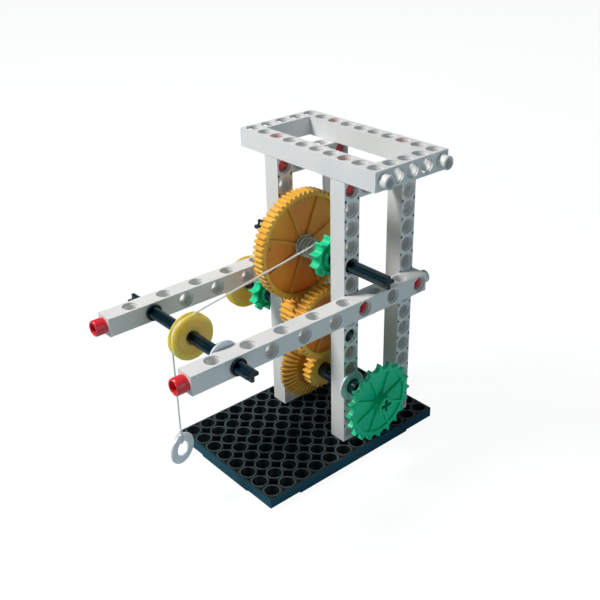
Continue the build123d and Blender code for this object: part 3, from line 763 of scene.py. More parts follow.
@dataclass
class BasePlate:
    """The black plate with its rimmed holes, star pockets and edge pits."""

    columns: int = 12
    rows: int = 8
    height: float = 7.0
    hole: float = 4.0
    rim: float = 4.48
    rim_height: float = 0.22
    rim_root: float = 0.1
    pocket_depth: float = 5.5
    relief: float = 20.0
    relief_height: float = 1.0
    pit: float = 0.7
    pit_depth: float = 3.0
    pit_inset: float = 1.7

    def __post_init__(self) -> None:
        """Works out the half sizes, the level of the skin and the lines between the holes."""
        self.half_x = self.columns * GRID.pitch / 2
        self.half_y = self.rows * GRID.pitch / 2
        self.top = self.height - self.rim_height
        self.lines_x = [(x + 1) * GRID.pitch - self.half_x for x in range(self.columns - 1)]
        self.lines_y = [(y + 1) * GRID.pitch - self.half_y for y in range(self.rows - 1)]

    def places(self) -> list[Point]:
        """Works out the middles of all the holes.

        Returns:
            The middles.
        """
        first_x, first_y = HALF - self.half_x, HALF - self.half_y
        return [
            (first_x + x * GRID.pitch, first_y + y * GRID.pitch)
            for x in range(self.columns)
            for y in range(self.rows)
        ]

    def build(self) -> None:
        """Builds the plate and its rims."""
        plate = Form()
        plate.block((-self.half_x, -self.half_y, 0), (self.half_x, self.half_y, self.top))
        for knife in (self.reliefs(), self.holes(), self.pockets(), self.pits()):
            plate = plate.carve(knife)
        self.paint_side_light(plate)
        for x, y in self.places():
            self.ring(plate, x, y)
        plate.piece("plate", Body.ROOT, Slot.BASE, [BASE_BLACK, BASE_SIDE_PAINTED_LIGHT, RIM_GREY], "base_plate", 0.18)

    def reliefs(self) -> Form:
        """Builds the knife of the shallow steps under the four corners.

        Returns:
            The knife.
        """
        knife = Form()
        skin = 0.2
        across = self.relief + skin
        for sx in (-1, 1):
            for sy in (-1, 1):
                low_x = sx * self.half_x - (self.relief if sx > 0 else skin)
                low_y = sy * self.half_y - (self.relief if sy > 0 else skin)
                knife.block((low_x, low_y, -1), (low_x + across, low_y + across, self.relief_height))
        return knife

    def holes(self) -> Form:
        """Builds the knife of the holes.

        Returns:
            The knife.
        """
        knife = Form()
        for x, y in self.places():
            knife.rod(self.hole, self.height + 2, (x, y, -1), upright=True, sides=40)
        return knife

    def pockets(self) -> Form:
        """Builds the knife of the star pockets.

        Returns:
            The knife.
        """
        knife = Form()
        floor = self.top - self.pocket_depth
        for x in self.lines_x:
            for y in self.lines_y:
                knife.prism(self.star(), (0, 0, self.pocket_depth + 1), (x, y, floor))
        return knife

    def pits(self) -> Form:
        """Builds the knife of the small pits along the plate's edges.

        Returns:
            The knife.
        """
        far_x, far_y = self.half_x - self.pit_inset, self.half_y - self.pit_inset
        spots = [(x, s * far_y) for x in self.lines_x for s in (-1, 1)]
        spots += [(s * far_x, y) for y in self.lines_y for s in (-1, 1)]
        knife = Form()
        floor = self.top - self.pit_depth
        for x, y in spots:
            knife.rod(self.pit, self.pit_depth + 1, (x, y, floor), upright=True, sides=10)
        return knife

    def paint_side_light(self, plate: Form) -> None:
        """Gives the plate's four outer sides their own finish, lighter and bluer than the top of the same
        plastic: painted light on the sides.

        Args:
            plate: the carved plate.
        """
        for face in plate.bm.faces:
            reach = max(max(abs(v.co.x) / self.half_x, abs(v.co.y) / self.half_y) for v in face.verts)
            outer = abs(face.normal.z) < 0.1 and reach > 0.999
            face.material_index = SECOND if outer else FIRST

    def ring(self, form: Form, x: float, y: float) -> None:
        """Adds the raised rim of one hole.

        Args:
            form: the form to add it to.
            x: the hole's middle along X.
            y: the hole's middle along Y.
        """
        bm = form.bm
        rise = self.rim_height + self.rim_root
        grow = self.rim / self.hole
        foot = Matrix.Translation((x, y, self.top - self.rim_root))
        made = bmesh.ops.create_circle(bm, cap_ends=False, segments=40, radius=self.hole, matrix=foot)
        edges = list({e for v in made["verts"] for e in v.link_edges})
        up = bmesh.ops.extrude_edge_only(bm, edges=edges)
        inner = verts_of(up)
        bmesh.ops.translate(bm, verts=inner, vec=(0, 0, rise))
        out = bmesh.ops.extrude_edge_only(bm, edges=edges_of(up))
        outer = verts_of(out)
        bmesh.ops.scale(bm, verts=outer, vec=(grow, grow, 1), space=Matrix.Translation((-x, -y, 0)))
        down = bmesh.ops.extrude_edge_only(bm, edges=edges_of(out))
        low = verts_of(down)
        bmesh.ops.translate(bm, verts=low, vec=(0, 0, -rise))
        closing = bmesh.ops.bridge_loops(bm, edges=[e for e in edges if e.is_valid] + edges_of(down))
        rim = {f for v in made["verts"] + inner + outer + low for f in v.link_faces}
        for face in rim | set(closing["faces"]):
            face.material_index = THIRD

    def star(self) -> list[Place]:
        """Works out the outline of the pocket between four rims.

        Returns:
            The corners, in order.
        """
        quarter = ((3.0, 0.5), (2.15, 1.1), (1.64, 1.64), (1.1, 2.15), (0.5, 3.0))
        corners: list[Place] = []
        for turn in range(4):
            c, s = math.cos(turn * math.pi / 2), math.sin(turn * math.pi / 2)
            corners += [(c * x - s * y, s * x + c * y, 0) for x, y in quarter]
        return corners


@dataclass(frozen=True)
class TubularPeg:
    """A tubular peg with a countersunk mouth, which stands out towards -Y."""

    radius: float = 3.5
    bore: float = 2.25
    length: float = 5.0
    root: float = 0.6
    chamfer: float = 0.4
    countersink: Point = (0.45, 0.7)

    def add_to(self, form: Form, at: Place) -> None:
        """Adds the peg to a form.

        Args:
            form: the form to add it to.
            at: middle of the face that it stands on.
        """
        wider, deep = self.countersink
        profile = [
            (self.bore, self.root),
            (self.bore, deep - self.length),
            (self.bore + wider, -self.length),
            (self.radius - self.chamfer, -self.length),
            (self.radius, self.chamfer - self.length),
            (self.radius, self.root),
        ]
        form.lathe(profile, at, steps=40)


@dataclass
class Frames:
    """The two side frames and the top frame, rings of drilled beam."""

    left: float = 0.0
    right: float = 50.0
    levels: int = 15
    rows: int = 10
    end_depth: float = 8.7
    seam: float = 0.2
    pit_width: float = 1.3
    pit_half: float = 1.15
    pit_depth: float = 2.5
    foot: float = 3.9
    foot_length: float = 5.0

    def build(self) -> None:
        """Builds the three frames."""
        self.side("near_frame", GRID.near_y, "near_side_frame")
        self.side("far_frame", GRID.far_y, "far_side_frame")
        self.top()

    def side(self, name: str, y: float, node: str) -> None:
        """Builds one side frame.

        Args:
            name: the piece's name.
            y: the frame's middle along Y.
            node: the CAD node that it stands for.
        """
        base, top, low = GRID.deck, GRID.deck + BEAM * self.levels, y - HALF
        ring = Form()
        ring.block((self.left, low, base), (self.right, low + BEAM, top - self.seam))
        window = Form()
        window.block(
            (self.left + BEAM, low - 1, base + BEAM),
            (self.right - BEAM, low + BEAM + 1, top - BEAM),
        )
        through = Form()
        for level in range(self.levels):
            for x in PILLARS:
                through.hole((x, low, base + HALF + BEAM * level), Toward.BACK, BEAM)
        for x in BETWEEN_PILLARS:
            for z in (base + HALF, top - HALF):
                through.hole((x, low, z), Toward.BACK, BEAM)
        ends = Form()
        for x in ACROSS:
            ends.hole((x, y, top), Toward.DOWN, self.end_depth, FINE_MOUTH, blind=True)
        for knife in (window, through, ends, self.pits(low)):
            ring = ring.carve(knife)
        for x in PILLARS:
            ring.rod(self.foot, self.foot_length + 0.5, (x, y, base - self.foot_length), upright=True)
        ring.piece(name, Body.ROOT, Slot.FRAME, [FRAME_WHITE, PIT_PAINTED_SHADE], node, 0.22)

    def pits(self, low: float) -> Form:
        """Builds the knife of the triangular pits between the holes of the pillars; its faces give the pits
        a near-black finish, which is painted shade.

        Args:
            low: the frame's near face along Y.

        Returns:
            The knife.
        """
        edge = 4.7
        knife = Form()
        for level in range(1, self.levels):
            for x in PILLARS:
                for s in (-1, 1):
                    pit = [
                        (s * edge, 0, -self.pit_half),
                        (s * edge, 0, self.pit_half),
                        (s * (edge - self.pit_width), 0, 0.0),
                    ]
                    for start in (low - 1, low + BEAM - self.pit_depth):
                        at = (x, start, GRID.deck + BEAM * level)
                        # The knife's second finish paints the pits' faces near-black: painted shade.
                        knife.prism(pit, (0, self.pit_depth + 1, 0), at, SECOND)
        return knife

    def top(self) -> None:
        """Builds the top frame with its two tubular pegs."""
        base, middle = GRID.frame_top, GRID.frame_top + HALF
        low, high = -BEAM * self.rows / 2, BEAM * self.rows / 2
        ring = Form()
        ring.block((self.left, low, base), (self.right, high, base + BEAM))
        window = Form()
        window.block(
            (self.left + BEAM, low + BEAM, base - 1),
            (self.right - BEAM, high - BEAM, base + BEAM + 1),
        )
        through = Form()
        for row in range(self.rows):
            for x in PILLARS:
                through.hole((x, low + HALF + BEAM * row, base), Toward.UP, BEAM, FINE_MOUTH)
        for x in BETWEEN_PILLARS:
            for y in (low + HALF, high - HALF):
                through.hole((x, y, base), Toward.UP, BEAM, FINE_MOUTH)
        ends = Form()
        for x in BETWEEN_PILLARS:
            ends.hole((x, low, middle), Toward.BACK, self.end_depth, END_MOUTH, blind=True)
        for x in ACROSS:
            ends.hole((x, high, middle), Toward.FRONT, self.end_depth, END_MOUTH, blind=True)
        for knife in (window, through, ends):
            ring = ring.carve(knife)
        for x in PILLARS:
            TubularPeg().add_to(ring, (x, low, middle))
        ring.piece("top_ring", Body.ROOT, Slot.FRAME, [FRAME_WHITE], "top_frame", 0.25)


@dataclass
class Arms:
    """The two long beams, their end pegs and the tubular pegs at their back ends."""

    front: float = -100.0
    cells: int = 15
    end_depth: float = 8.7
    shank: float = 3.55
    shank_length: float = 8.0
    collar: float = 3.9
    head: float = 4.2
    head_length: float = 6.3
    recess: float = 3.0
    recess_depth: float = 4.0

    def build(self) -> None:
        """Builds both arms and both end pegs."""
        for side, y in (("near", -GRID.arm_y), ("far", GRID.arm_y)):
            self.arm(side, y)
            self.peg(side, y)

    def arm(self, side: str, y: float) -> None:
        """Builds one arm.

        Args:
            side: "near" or "far".
            y: the arm's middle along Y.
        """
        back = self.front + BEAM * self.cells
        level, low = GRID.arm_level, GRID.arm_level - HALF
        beam = Form()
        beam.block((self.front, y - HALF, low), (back, y + HALF, low + BEAM))
        knife = Form()
        for cell in range(1, self.cells, 2):
            knife.hole((self.front + HALF + BEAM * cell, y, low), Toward.UP, BEAM, UPPER_MOUTH)
        for cell in range(2, self.cells, 2):
            knife.hole((self.front + HALF + BEAM * cell, y - HALF, level), Toward.BACK, BEAM)
        knife.hole((self.front, y, level), Toward.RIGHT, self.end_depth, PEG_MOUTH, blind=True)
        beam = beam.carve(knife)
        peg = Form()
        TubularPeg().add_to(peg, (0, 0, 0))
        peg.turn(math.pi / 2, "Z")
        peg.move((back, y, level))
        beam.add(peg)
        beam.piece(f"{side}_beam", Body.ROOT, Slot.FRAME, [FRAME_WHITE], f"{side}_arm", 0.25)

    def peg(self, side: str, y: float) -> None:
        """Builds one red end peg.

        Args:
            side: "near" or "far".
            y: the arm's middle along Y.
        """
        end, floor = -self.head_length, self.recess_depth - self.head_length
        shank = [
            (0, self.shank_length),
            (self.shank - 0.15, self.shank_length),
            (self.shank, self.shank_length - 0.4),
            (self.shank, 0.35),
            (self.collar, 0.2),
            (self.collar, -0.35),
        ]
        head = [
            (self.head, -0.6),
            (self.head, end + 0.9),
            (self.head - 0.25, end + 0.3),
            (self.head - 0.7, end),
        ]
        recess = [
            (self.recess + 0.2, end),
            (self.recess, end + 0.25),
            (self.recess - 0.1, floor),
            (0, floor),
        ]
        peg = Form()
        peg.lathe([*shank, *head, *recess], steps=48, closed=False)
        peg.turn(-math.pi / 2, "Z")
        peg.move((self.front, y, GRID.arm_level))
        peg.piece(f"{side}_red_peg", Body.ROOT, Slot.PEG, [RED], f"{side}_arm_end_peg")


@dataclass
class ConnectorPins:
    """The eight red pins, each a short hollow stud."""

    radius: float = 3.55
    bore: float = 1.2
    reach: float = 7.1

    def build(self) -> None:
        """Builds all eight pins as one piece."""
        lip, taper = self.radius - 0.4, self.reach - 0.5
        near = [(self.bore, -self.reach), (lip, -self.reach), (self.radius, -taper)]
        profile = near + [(r, -y) for r, y in reversed(near)]
        pins = Form()
        uprights = Form()
        for x in PILLARS:
            for y in (HALF - GRID.arm_y, GRID.arm_y - HALF):
                pins.lathe(profile, (x, y, GRID.arm_level), steps=32)
            for y in (GRID.near_y, GRID.far_y):
                uprights.lathe(profile, (x, GRID.frame_top, -y), steps=32)
        uprights.turn(math.pi / 2, "X")
        pins.add(uprights)
        pins.piece("red_pins", Body.ROOT, Slot.PEG, [RED], "connector_pins", 0.15)


# ---------------------------------------------------------------------------------------------
# Axles and what turns on them
# ---------------------------------------------------------------------------------------------


@dataclass
class Turned:
    """What every piece on an axle has: its names and body, its axle's X and Z, and its near end."""

    name: str
    node: str
    body: Body
    spot: Point
    start: float

    def at(self, y: float = 0.0) -> Place:
        """Returns the point of the axle's line at a depth."""
        return (self.spot[0], y, self.spot[1])


@dataclass
class CrossAxle(Turned):
    """A plus-shaped axle."""

    length: float = 100.0
    radius: float = 3.57
    lobe: float = 2.0

    def build(self) -> None:
        """Builds the axle with rounded lobes."""
        rod = Form()
        rod.prism(cross_outline(self.radius, self.lobe), (0, self.length, 0), self.at(self.start))
        rod.piece(self.name, self.body, Slot.AXLE, [AXLE_BLACK], self.node, 0.32, 3)


@dataclass
class Bush(Turned):
    """A bush, collar or stop: a plain turned black ring."""

    length: float
    radius: float = 4.4
    bore: float = 3.62
    round_edge: float = 0.25
    slot: ClassVar[Slot] = Slot.AXLE
    finish: ClassVar[Finish] = AXLE_BLACK

    def build(self) -> None:
        """Builds the ring."""
        ring = Form()
        profile = ring_profile(self.bore, self.radius, 0.0, self.length, self.round_edge)
        ring.lathe(profile, self.at(self.start))
        ring.piece(self.name, self.body, self.slot, [self.finish], self.node)


@dataclass
class Washer(Bush):
    """A thin pale washer."""

    length: float = 1.2
    radius: float = 8.3
    bore: float = 3.9
    slot: ClassVar[Slot] = Slot.WASHER
    finish: ClassVar[Finish] = WASHER_ICE


@dataclass
class SpurGear(Turned):
    """A spur gear: one or more toothed rings side by side."""

    teeth: int = 20
    width: float = 5.2
    first: float = 99.0
    inner: float = 2.5
    addendum: float = 0.8
    dedendum: float = 1.3
    tooth_half: float = 0.76
    flank: float = 0.26
    more_rings: Sequence[float] = ()

    def sector(self) -> list[Point]:
        """Works out one tooth and its share of the rim.

        Returns:
            The corners, as (radius, angle).
        """
        pitch = self.teeth / 2
        half = math.pi / self.teeth
        root, tip = pitch - self.dedendum, pitch + self.addendum
        levels = (
            (root, 0.12),
            (root + 0.22, 0.0),
            (pitch, 0.0),
            (tip - 0.2, 0.0),
            (tip - 0.06, -0.04),
            (tip, -0.15),
        )
        widths = [(r, self.tooth_half + self.flank * (pitch - r) + more) for r, more in levels]
        rise = [(r, -w / r) for r, w in widths]
        fall = [(r, w / r) for r, w in reversed(widths)]
        rim = [(root, half), (self.inner, half), (self.inner, 0.0), (self.inner, -half)]
        return [(root, -half), *rise, *fall, *rim]

    def rings(self) -> Form:
        """Builds the toothed rings.

        Returns:
            The form that holds them.
        """
        gear = Form()
        for start in (self.start, *self.more_rings):
            gear.sectors(self.sector(), self.teeth, self.width, self.at(start), self.first)
        return gear

    def dress(self, gear: Form) -> None:
        """Turns the form into the finished gear."""
        gear.piece(self.name, self.body, Slot.GEAR, [GEAR_ORANGE, WEB_ORANGE, RIB_ORANGE], self.node, 0.1)

    def build(self) -> None:
        """Builds the gear, solid up to its bore."""
        self.dress(self.rings())


@dataclass
class GearWheel(SpurGear):
    """A large spur gear whose rim stands round a recessed web with ribs and a hub."""

    width: float = 7.0
    first: float = -90.0
    web: Point = (2.5, 4.5)
    hub: float = 6.0
    hub_span: Point = (0.0, 10.0)
    ribs: int = 8
    rib_inner: float = 6.0
    rib_half: float = 0.7
    rib_height: float = 1.4
    pip: float = 0.0
    pip_turn: float = 10.0
    pip_radius: float = 0.9

    def build(self) -> None:
        """Builds the gear with its web, hub and ribs, and with the pip where there is one."""
        gear = self.rings()
        self.add_web(gear)
        self.add_ribs(gear)
        if self.pip:
            self.add_pip(gear)
        self.dress(gear)

    def add_web(self, gear: Form) -> None:
        """Adds the recessed web and the hub.

        Args:
            gear: the form to add them to.
        """
        floor, back = self.web
        edge = self.inner + 0.3
        web = [(3.7, floor), (edge, floor), (edge, back), (3.7, back)]
        gear.lathe(web, self.at(self.start), steps=96, material=SECOND)
        low, high = self.hub_span
        chamfer = 0.3
        hub = [
            (AXLE_HOLE, low),
            (self.hub - chamfer, low),
            (self.hub, low + chamfer),
            (self.hub, high - chamfer),
            (self.hub - chamfer, high),
            (AXLE_HOLE, high),
        ]
        gear.lathe(hub, self.at(self.start), steps=48)

    def add_ribs(self, gear: Form) -> None:
        """Adds the ribs on both sides of the web.

        Args:
            gear: the form to add them to.
        """
        floor, back = self.web
        lows = (self.start + floor + 0.1 - self.rib_height, self.start + back - 0.1)
        for rib in range(self.ribs):
            bar = Form()
            for y in lows:
                bar.block(
                    (self.rib_inner, y, -self.rib_half),
                    (self.inner + 0.1, y + self.rib_height, self.rib_half),
                    THIRD,
                )
            bar.turn((rib + 0.5) * TURN / self.ribs, "Y")
            bar.move(self.at())
            gear.add(bar)

    def add_pip(self, gear: Form) -> None:
        """Adds the small round pip on the web.

        Args:
            gear: the form to add it to.
        """
        turn = math.radians(self.pip_turn)
        x, z = self.spot
        y = self.start + self.web[0] - 0.6
        at = (x - self.pip * math.cos(turn), y, z + self.pip * math.sin(turn))
        gear.rod(self.pip_radius, 1.6, at, sides=16, material=SECOND)


@dataclass
class CrownGear(Turned):
    """The crown gear: ridges that curve from the inner edge over the cone into the back rim."""

    teeth: int = 40

    def rows(self) -> list[tuple[float, float, float, float]]:
        """Lists the rows along the section.

        Returns:
            For each row the crest's radius and depth, then the valley's.
        """
        return [
            (4.0, 2.8, 4.0, 2.8),
            (11.4, 2.8, 11.4, 2.8),
            (11.6, 1.1, 11.6, 1.4),
            (12.6, 0.0, 12.2, 1.3),
            (14.4, 0.15, 14.0, 1.5),
            (16.6, 0.65, 15.8, 1.95),
            (18.6, 1.45, 17.4, 2.6),
            (20.1, 2.5, 18.5, 3.3),
            (20.8, 3.4, 18.9, 3.9),
            (20.8, 4.8, 18.9, 4.8),
            (4.0, 4.8, 4.0, 4.8),
        ]

    def build(self) -> None:
        """Builds the gear from one sector, repeated round the axle."""
        gear = Form()
        faces = self.sector(gear)
        gear.spin(faces, TURN * (self.teeth - 1) / self.teeth, self.teeth - 1, copies=True)
        bmesh.ops.remove_doubles(gear.bm, verts=gear.bm.verts, dist=WELD)
        gear.lathe([(AXLE_HOLE, 1.2), (5.7, 1.2), (6.0, 1.5), (6.0, 4.7), (AXLE_HOLE, 4.7)], steps=48)
        gear.move(self.at(self.start))
        gear.piece(self.name, self.body, Slot.GEAR, [GEAR_ORANGE, GROOVE_PAINTED_SHADE], self.node)

    def sector(self, gear: Form) -> list[bmesh.types.BMFace]:
        """Builds one ridge and half of the groove on each side of it.

        Args:
            gear: the form to build it in.

        Returns:
            The sector's faces.
        """
        half = math.pi / self.teeth
        right = ((0.25, 1.0), (0.5, 0.8), (0.78, 0.0), (1.0, 0.0))
        columns = [(-share, lift) for share, lift in reversed(right)] + list(right)
        grid = []
        for crest_r, crest_y, valley_r, valley_y in self.rows():
            line = []
            for share, lift in columns:
                r = valley_r + (crest_r - valley_r) * lift
                y = valley_y + (crest_y - valley_y) * lift
                a = share * half
                line.append(gear.bm.verts.new((r * math.sin(a), y, r * math.cos(a))))
            grid.append(line)
        faces = []
        for low, high in zip(grid, [*grid[1:], grid[0]]):
            for i in range(len(columns) - 1):
                face = gear.bm.faces.new((low[i], low[i + 1], high[i + 1], high[i]))
                # Faces deep in the groove take the darker orange: painted shade.
                groove = abs(columns[i][0] + columns[i + 1][0]) > 1.2
                face.material_index = SECOND if groove else FIRST
                faces.append(face)
        return faces


@dataclass
class Sprocket(Turned):
    """A ten-tooth chain sprocket with round seats, a grooved near face and a hub ring."""

    near: float
    teeth: int = 10
    tip: float = 11.0
    width: float = 5.5
    inner: float = 7.4
    seat: float = 2.85
    nose: float = 0.55
    bevel: float = 0.3

    def sector(self) -> list[Point]:
        """Works out one tooth and its share of the body.

        Returns:
            The corners, as (radius, angle).
        """
        half = math.pi / self.teeth
        rise: list[Point] = []
        for step in range(7):
            a = math.pi - step * math.radians(15.5)
            px = self.tip + self.seat * math.cos(a)
            py = self.seat * math.sin(a)
            rise.append((math.hypot(px, py), -half + math.atan2(py, px)))
        rise = [(r, a) for r, a in rise if r < self.tip - 0.5]
        rise += [(self.tip - 0.18, -self.nose / self.tip), (self.tip, -0.4 * self.nose / self.tip)]
        fall = [(r, -a) for r, a in reversed(rise)]
        return [*rise, *fall, (self.inner, half), (self.inner, 0.0), (self.inner, -half)]

    def build(self) -> None:
        """Builds the toothed body and what stands inside it."""
        wheel = Form()
        wheel.sectors(self.sector(), self.teeth, self.width, self.at(self.near), 90)
        self.fill(wheel)
        wheel.piece(self.name, self.body, Slot.SPROCKET, [GREEN], self.node, self.bevel)

    def fill(self, wheel: Form) -> None:
        """Adds the hub ring.

        Args:
            wheel: the form to add it to.
        """
        edge, floor = self.inner + 0.2, self.near + 1.3
        far = self.near + self.width - 0.2
        hub = [
            (AXLE_HOLE, self.start),
            (5.2, self.start),
            (5.5, self.start + 0.3),
            (5.5, floor),
            (edge, floor),
            (edge, far),
            (AXLE_HOLE, far),
        ]
        wheel.lathe(hub, self.at(), steps=56)


@dataclass
class HandWheel(Sprocket):
    """The twenty-tooth chain wheel that is turned by hand."""

    teeth: int = 20
    tip: float = 22.0
    width: float = 2.7
    inner: float = 17.2
    seat: float = 2.9
    bevel: float = 0.22
    ribs: int = 8
    hub_radius: float = 4.8
    pocket: float = 0.45
    pocket_ring: float = 3.8

    def fill(self, wheel: Form) -> None:
        """Adds the ribbed web and the hub.

        Args:
            wheel: the form to add them to.
        """
        far = self.near + self.width
        edge, floor, back = self.inner + 0.2, self.near + 1.15, far - 0.05
        wheel.lathe([(3.0, floor), (edge, floor), (edge, back), (3.0, back)], self.at(), steps=96)
        for rib in range(self.ribs):
            bar = Form()
            bar.block((4.4, self.near - 0.05, -0.5), (self.inner + 0.1, self.near + 1.4, 0.5))
            bar.turn((rib + 0.5) * TURN / self.ribs, "Y")
            bar.move(self.at())
            wheel.add(bar)
        wheel.add(self.hub(far + 3.3))

    def hub(self, end: float) -> Form:
        """Builds the hub with its star bore and four small pockets.

        Args:
            end: depth of the hub's far end.

        Returns:
            The hub.
        """
        x, z = self.spot
        start = self.start
        hub = Form()
        profile = [
            (0, start),
            (self.hub_radius - 0.3, start),
            (self.hub_radius, start + 0.3),
            (self.hub_radius, end - 0.2),
            (self.hub_radius - 0.2, end),
            (0, end),
        ]
        hub.lathe(profile, self.at(), steps=56, closed=False)
        bore = Form()
        bore.prism(cross_outline(3.62, 2.1), (0, 30, 0), self.at(start - 5))
        pockets = Form()
        for quarter in range(4):
            a = (quarter + 0.5) * TURN / 4
            at = (x + self.pocket_ring * math.cos(a), start - 1, z + self.pocket_ring * math.sin(a))
            pockets.rod(self.pocket, 2.4, at, sides=16)
        return hub.carve(bore).carve(pockets)


@dataclass
class Pulley(Turned):
    """A yellow pulley: hub, dished web and a rounded rim with a flared groove. It starts at its middle."""

    radius: float
    half: float = 2.0
    groove: float = 2.1
    hub: float = 4.9

    def build(self) -> None:
        """Builds the pulley from one half of its section and its mirror."""
        floor, edge, half = self.radius - self.groove, self.radius, self.half
        hub = [
            (AXLE_HOLE, 0.0),
            (AXLE_HOLE, 0.3 - half),
            (3.9, -half),
            (self.hub - 0.5, -half),
            (self.hub, 0.2 - half),
        ]
        web = [
            (self.hub + 0.7, 0.55 - half),
            (floor - 3.0, 0.6 - half),
            (floor - 2.0, 0.45 - half),
            (floor - 1.2, 0.15 - half),
            (floor - 0.5, -half),
        ]
        rim = [
            (edge - 0.9, -half),
            (edge - 0.35, 0.1 - half),
            (edge - 0.05, 0.35 - half),
            (edge - 0.05, 0.6 - half),
            (edge - 0.35, 0.8 - half),
        ]
        near = [*hub, *web, *rim, (floor + 0.25, -0.8), (floor, -0.5), (floor, 0.0)]
        far = [(r, -y) for r, y in reversed(near[1:-1])]
        wheel = Form()
        wheel.lathe([*near, *far], self.at(self.start), steps=96)
        wheel.piece(self.name, self.body, Slot.PULLEY, [YELLOW], self.node)


# ---------------------------------------------------------------------------------------------
# String and load
# ---------------------------------------------------------------------------------------------


def nurbs_line(points: Sequence[Place]) -> list[Vector]:
    """Reads a smooth line through a route from its NURBS spline.

    Args:
        points: the route's control points, in millimetres.

    Returns:
        Points along the line, in millimetres.
    """
    curve = bpy.data.curves.new("route", "CURVE")
    curve.dimensions = "3D"
    spline = curve.splines.new("NURBS")
    spline.points.add(len(points) - 1)
    for target, source in zip(spline.points, points):
        target.co = (*[c * MM for c in source], 1)
    spline.order_u = 3
    spline.use_endpoint_u = True
    spline.resolution_u = 24
    holder = bpy.data.objects.new("route", curve)
    bpy.context.scene.collection.objects.link(holder)
    graph = bpy.context.evaluated_depsgraph_get()
    mesh = bpy.data.meshes.new_from_object(holder.evaluated_get(graph))
    line = [v.co / MM for v in mesh.vertices]
    bpy.data.objects.remove(holder)
    return line


def resample(line: Sequence[Vector], step: float) -> list[Vector]:
    """Spreads points evenly along a line.

    Args:
        line: points of the line.
        step: wished distance between points.

    Returns:
        Evenly spaced points, ends included.
    """
    lengths = [0.0]
    for a, b in zip(line, line[1:]):
        lengths.append(lengths[-1] + (b - a).length)
    count = max(2, round(lengths[-1] / step))
    made, at = [], 0
    for i in range(count + 1):
        want = lengths[-1] * i / count
        while at < len(lengths) - 2 and lengths[at + 1] < want:
            at += 1
        span = lengths[at + 1] - lengths[at]
        share = (want - lengths[at]) / span if span else 0.0
        made.append(line[at].lerp(line[at + 1], share))
    return made


@dataclass
class Twine:
    """Twisted cotton string: three strands laid round a centreline."""

    radius: float = 0.5
    strands: int = 3
    lay: float = 3.2
    sides: int = 6
    step: float = 0.4

    def lay_along(self, form: Form, line: Sequence[Vector]) -> None:
        """Lays the strands along a line.

        Args:
            form: the form to add them to.
            line: the centreline.
        """
        path = resample(line, self.step)
        strand = self.radius * 0.54
        offset = self.radius - strand
        angles = [s * TURN / self.sides for s in range(self.sides)]
        section = [(strand * math.cos(a), strand * math.sin(a)) for a in angles]
        frames = self.frames(path)
        for k in range(self.strands):
            rings = []
            for i, (p, (n, b)) in enumerate(zip(path, frames)):
                turn = TURN * (i * self.step / self.lay + k / self.strands)
                middle = p + n * (offset * math.cos(turn)) + b * (offset * math.sin(turn))
                rings.append([form.bm.verts.new(middle + n * u + b * v) for u, v in section])
            for low, high in zip(rings, rings[1:]):
                for s in range(self.sides):
                    after = (s + 1) % self.sides
                    form.bm.faces.new((low[s], low[after], high[after], high[s]))
            form.bm.faces.new(rings[0])
            form.bm.faces.new(list(reversed(rings[-1])))

    def frames(self, path: Sequence[Vector]) -> list[tuple[Vector, Vector]]:
        """Works out the two directions across the string at each point, without twist.

        Args:
            path: evenly spaced points.

        Returns:
            A pair of directions for each point.
        """
        last = len(path) - 1
        tangents = [(path[min(i + 1, last)] - path[max(i - 1, 0)]).normalized() for i in range(len(path))]
        normal = tangents[0].orthogonal().normalized()
        frames = []
        for t in tangents:
            normal = (normal - t * normal.dot(t)).normalized()
            frames.append((normal.copy(), t.cross(normal)))
        return frames


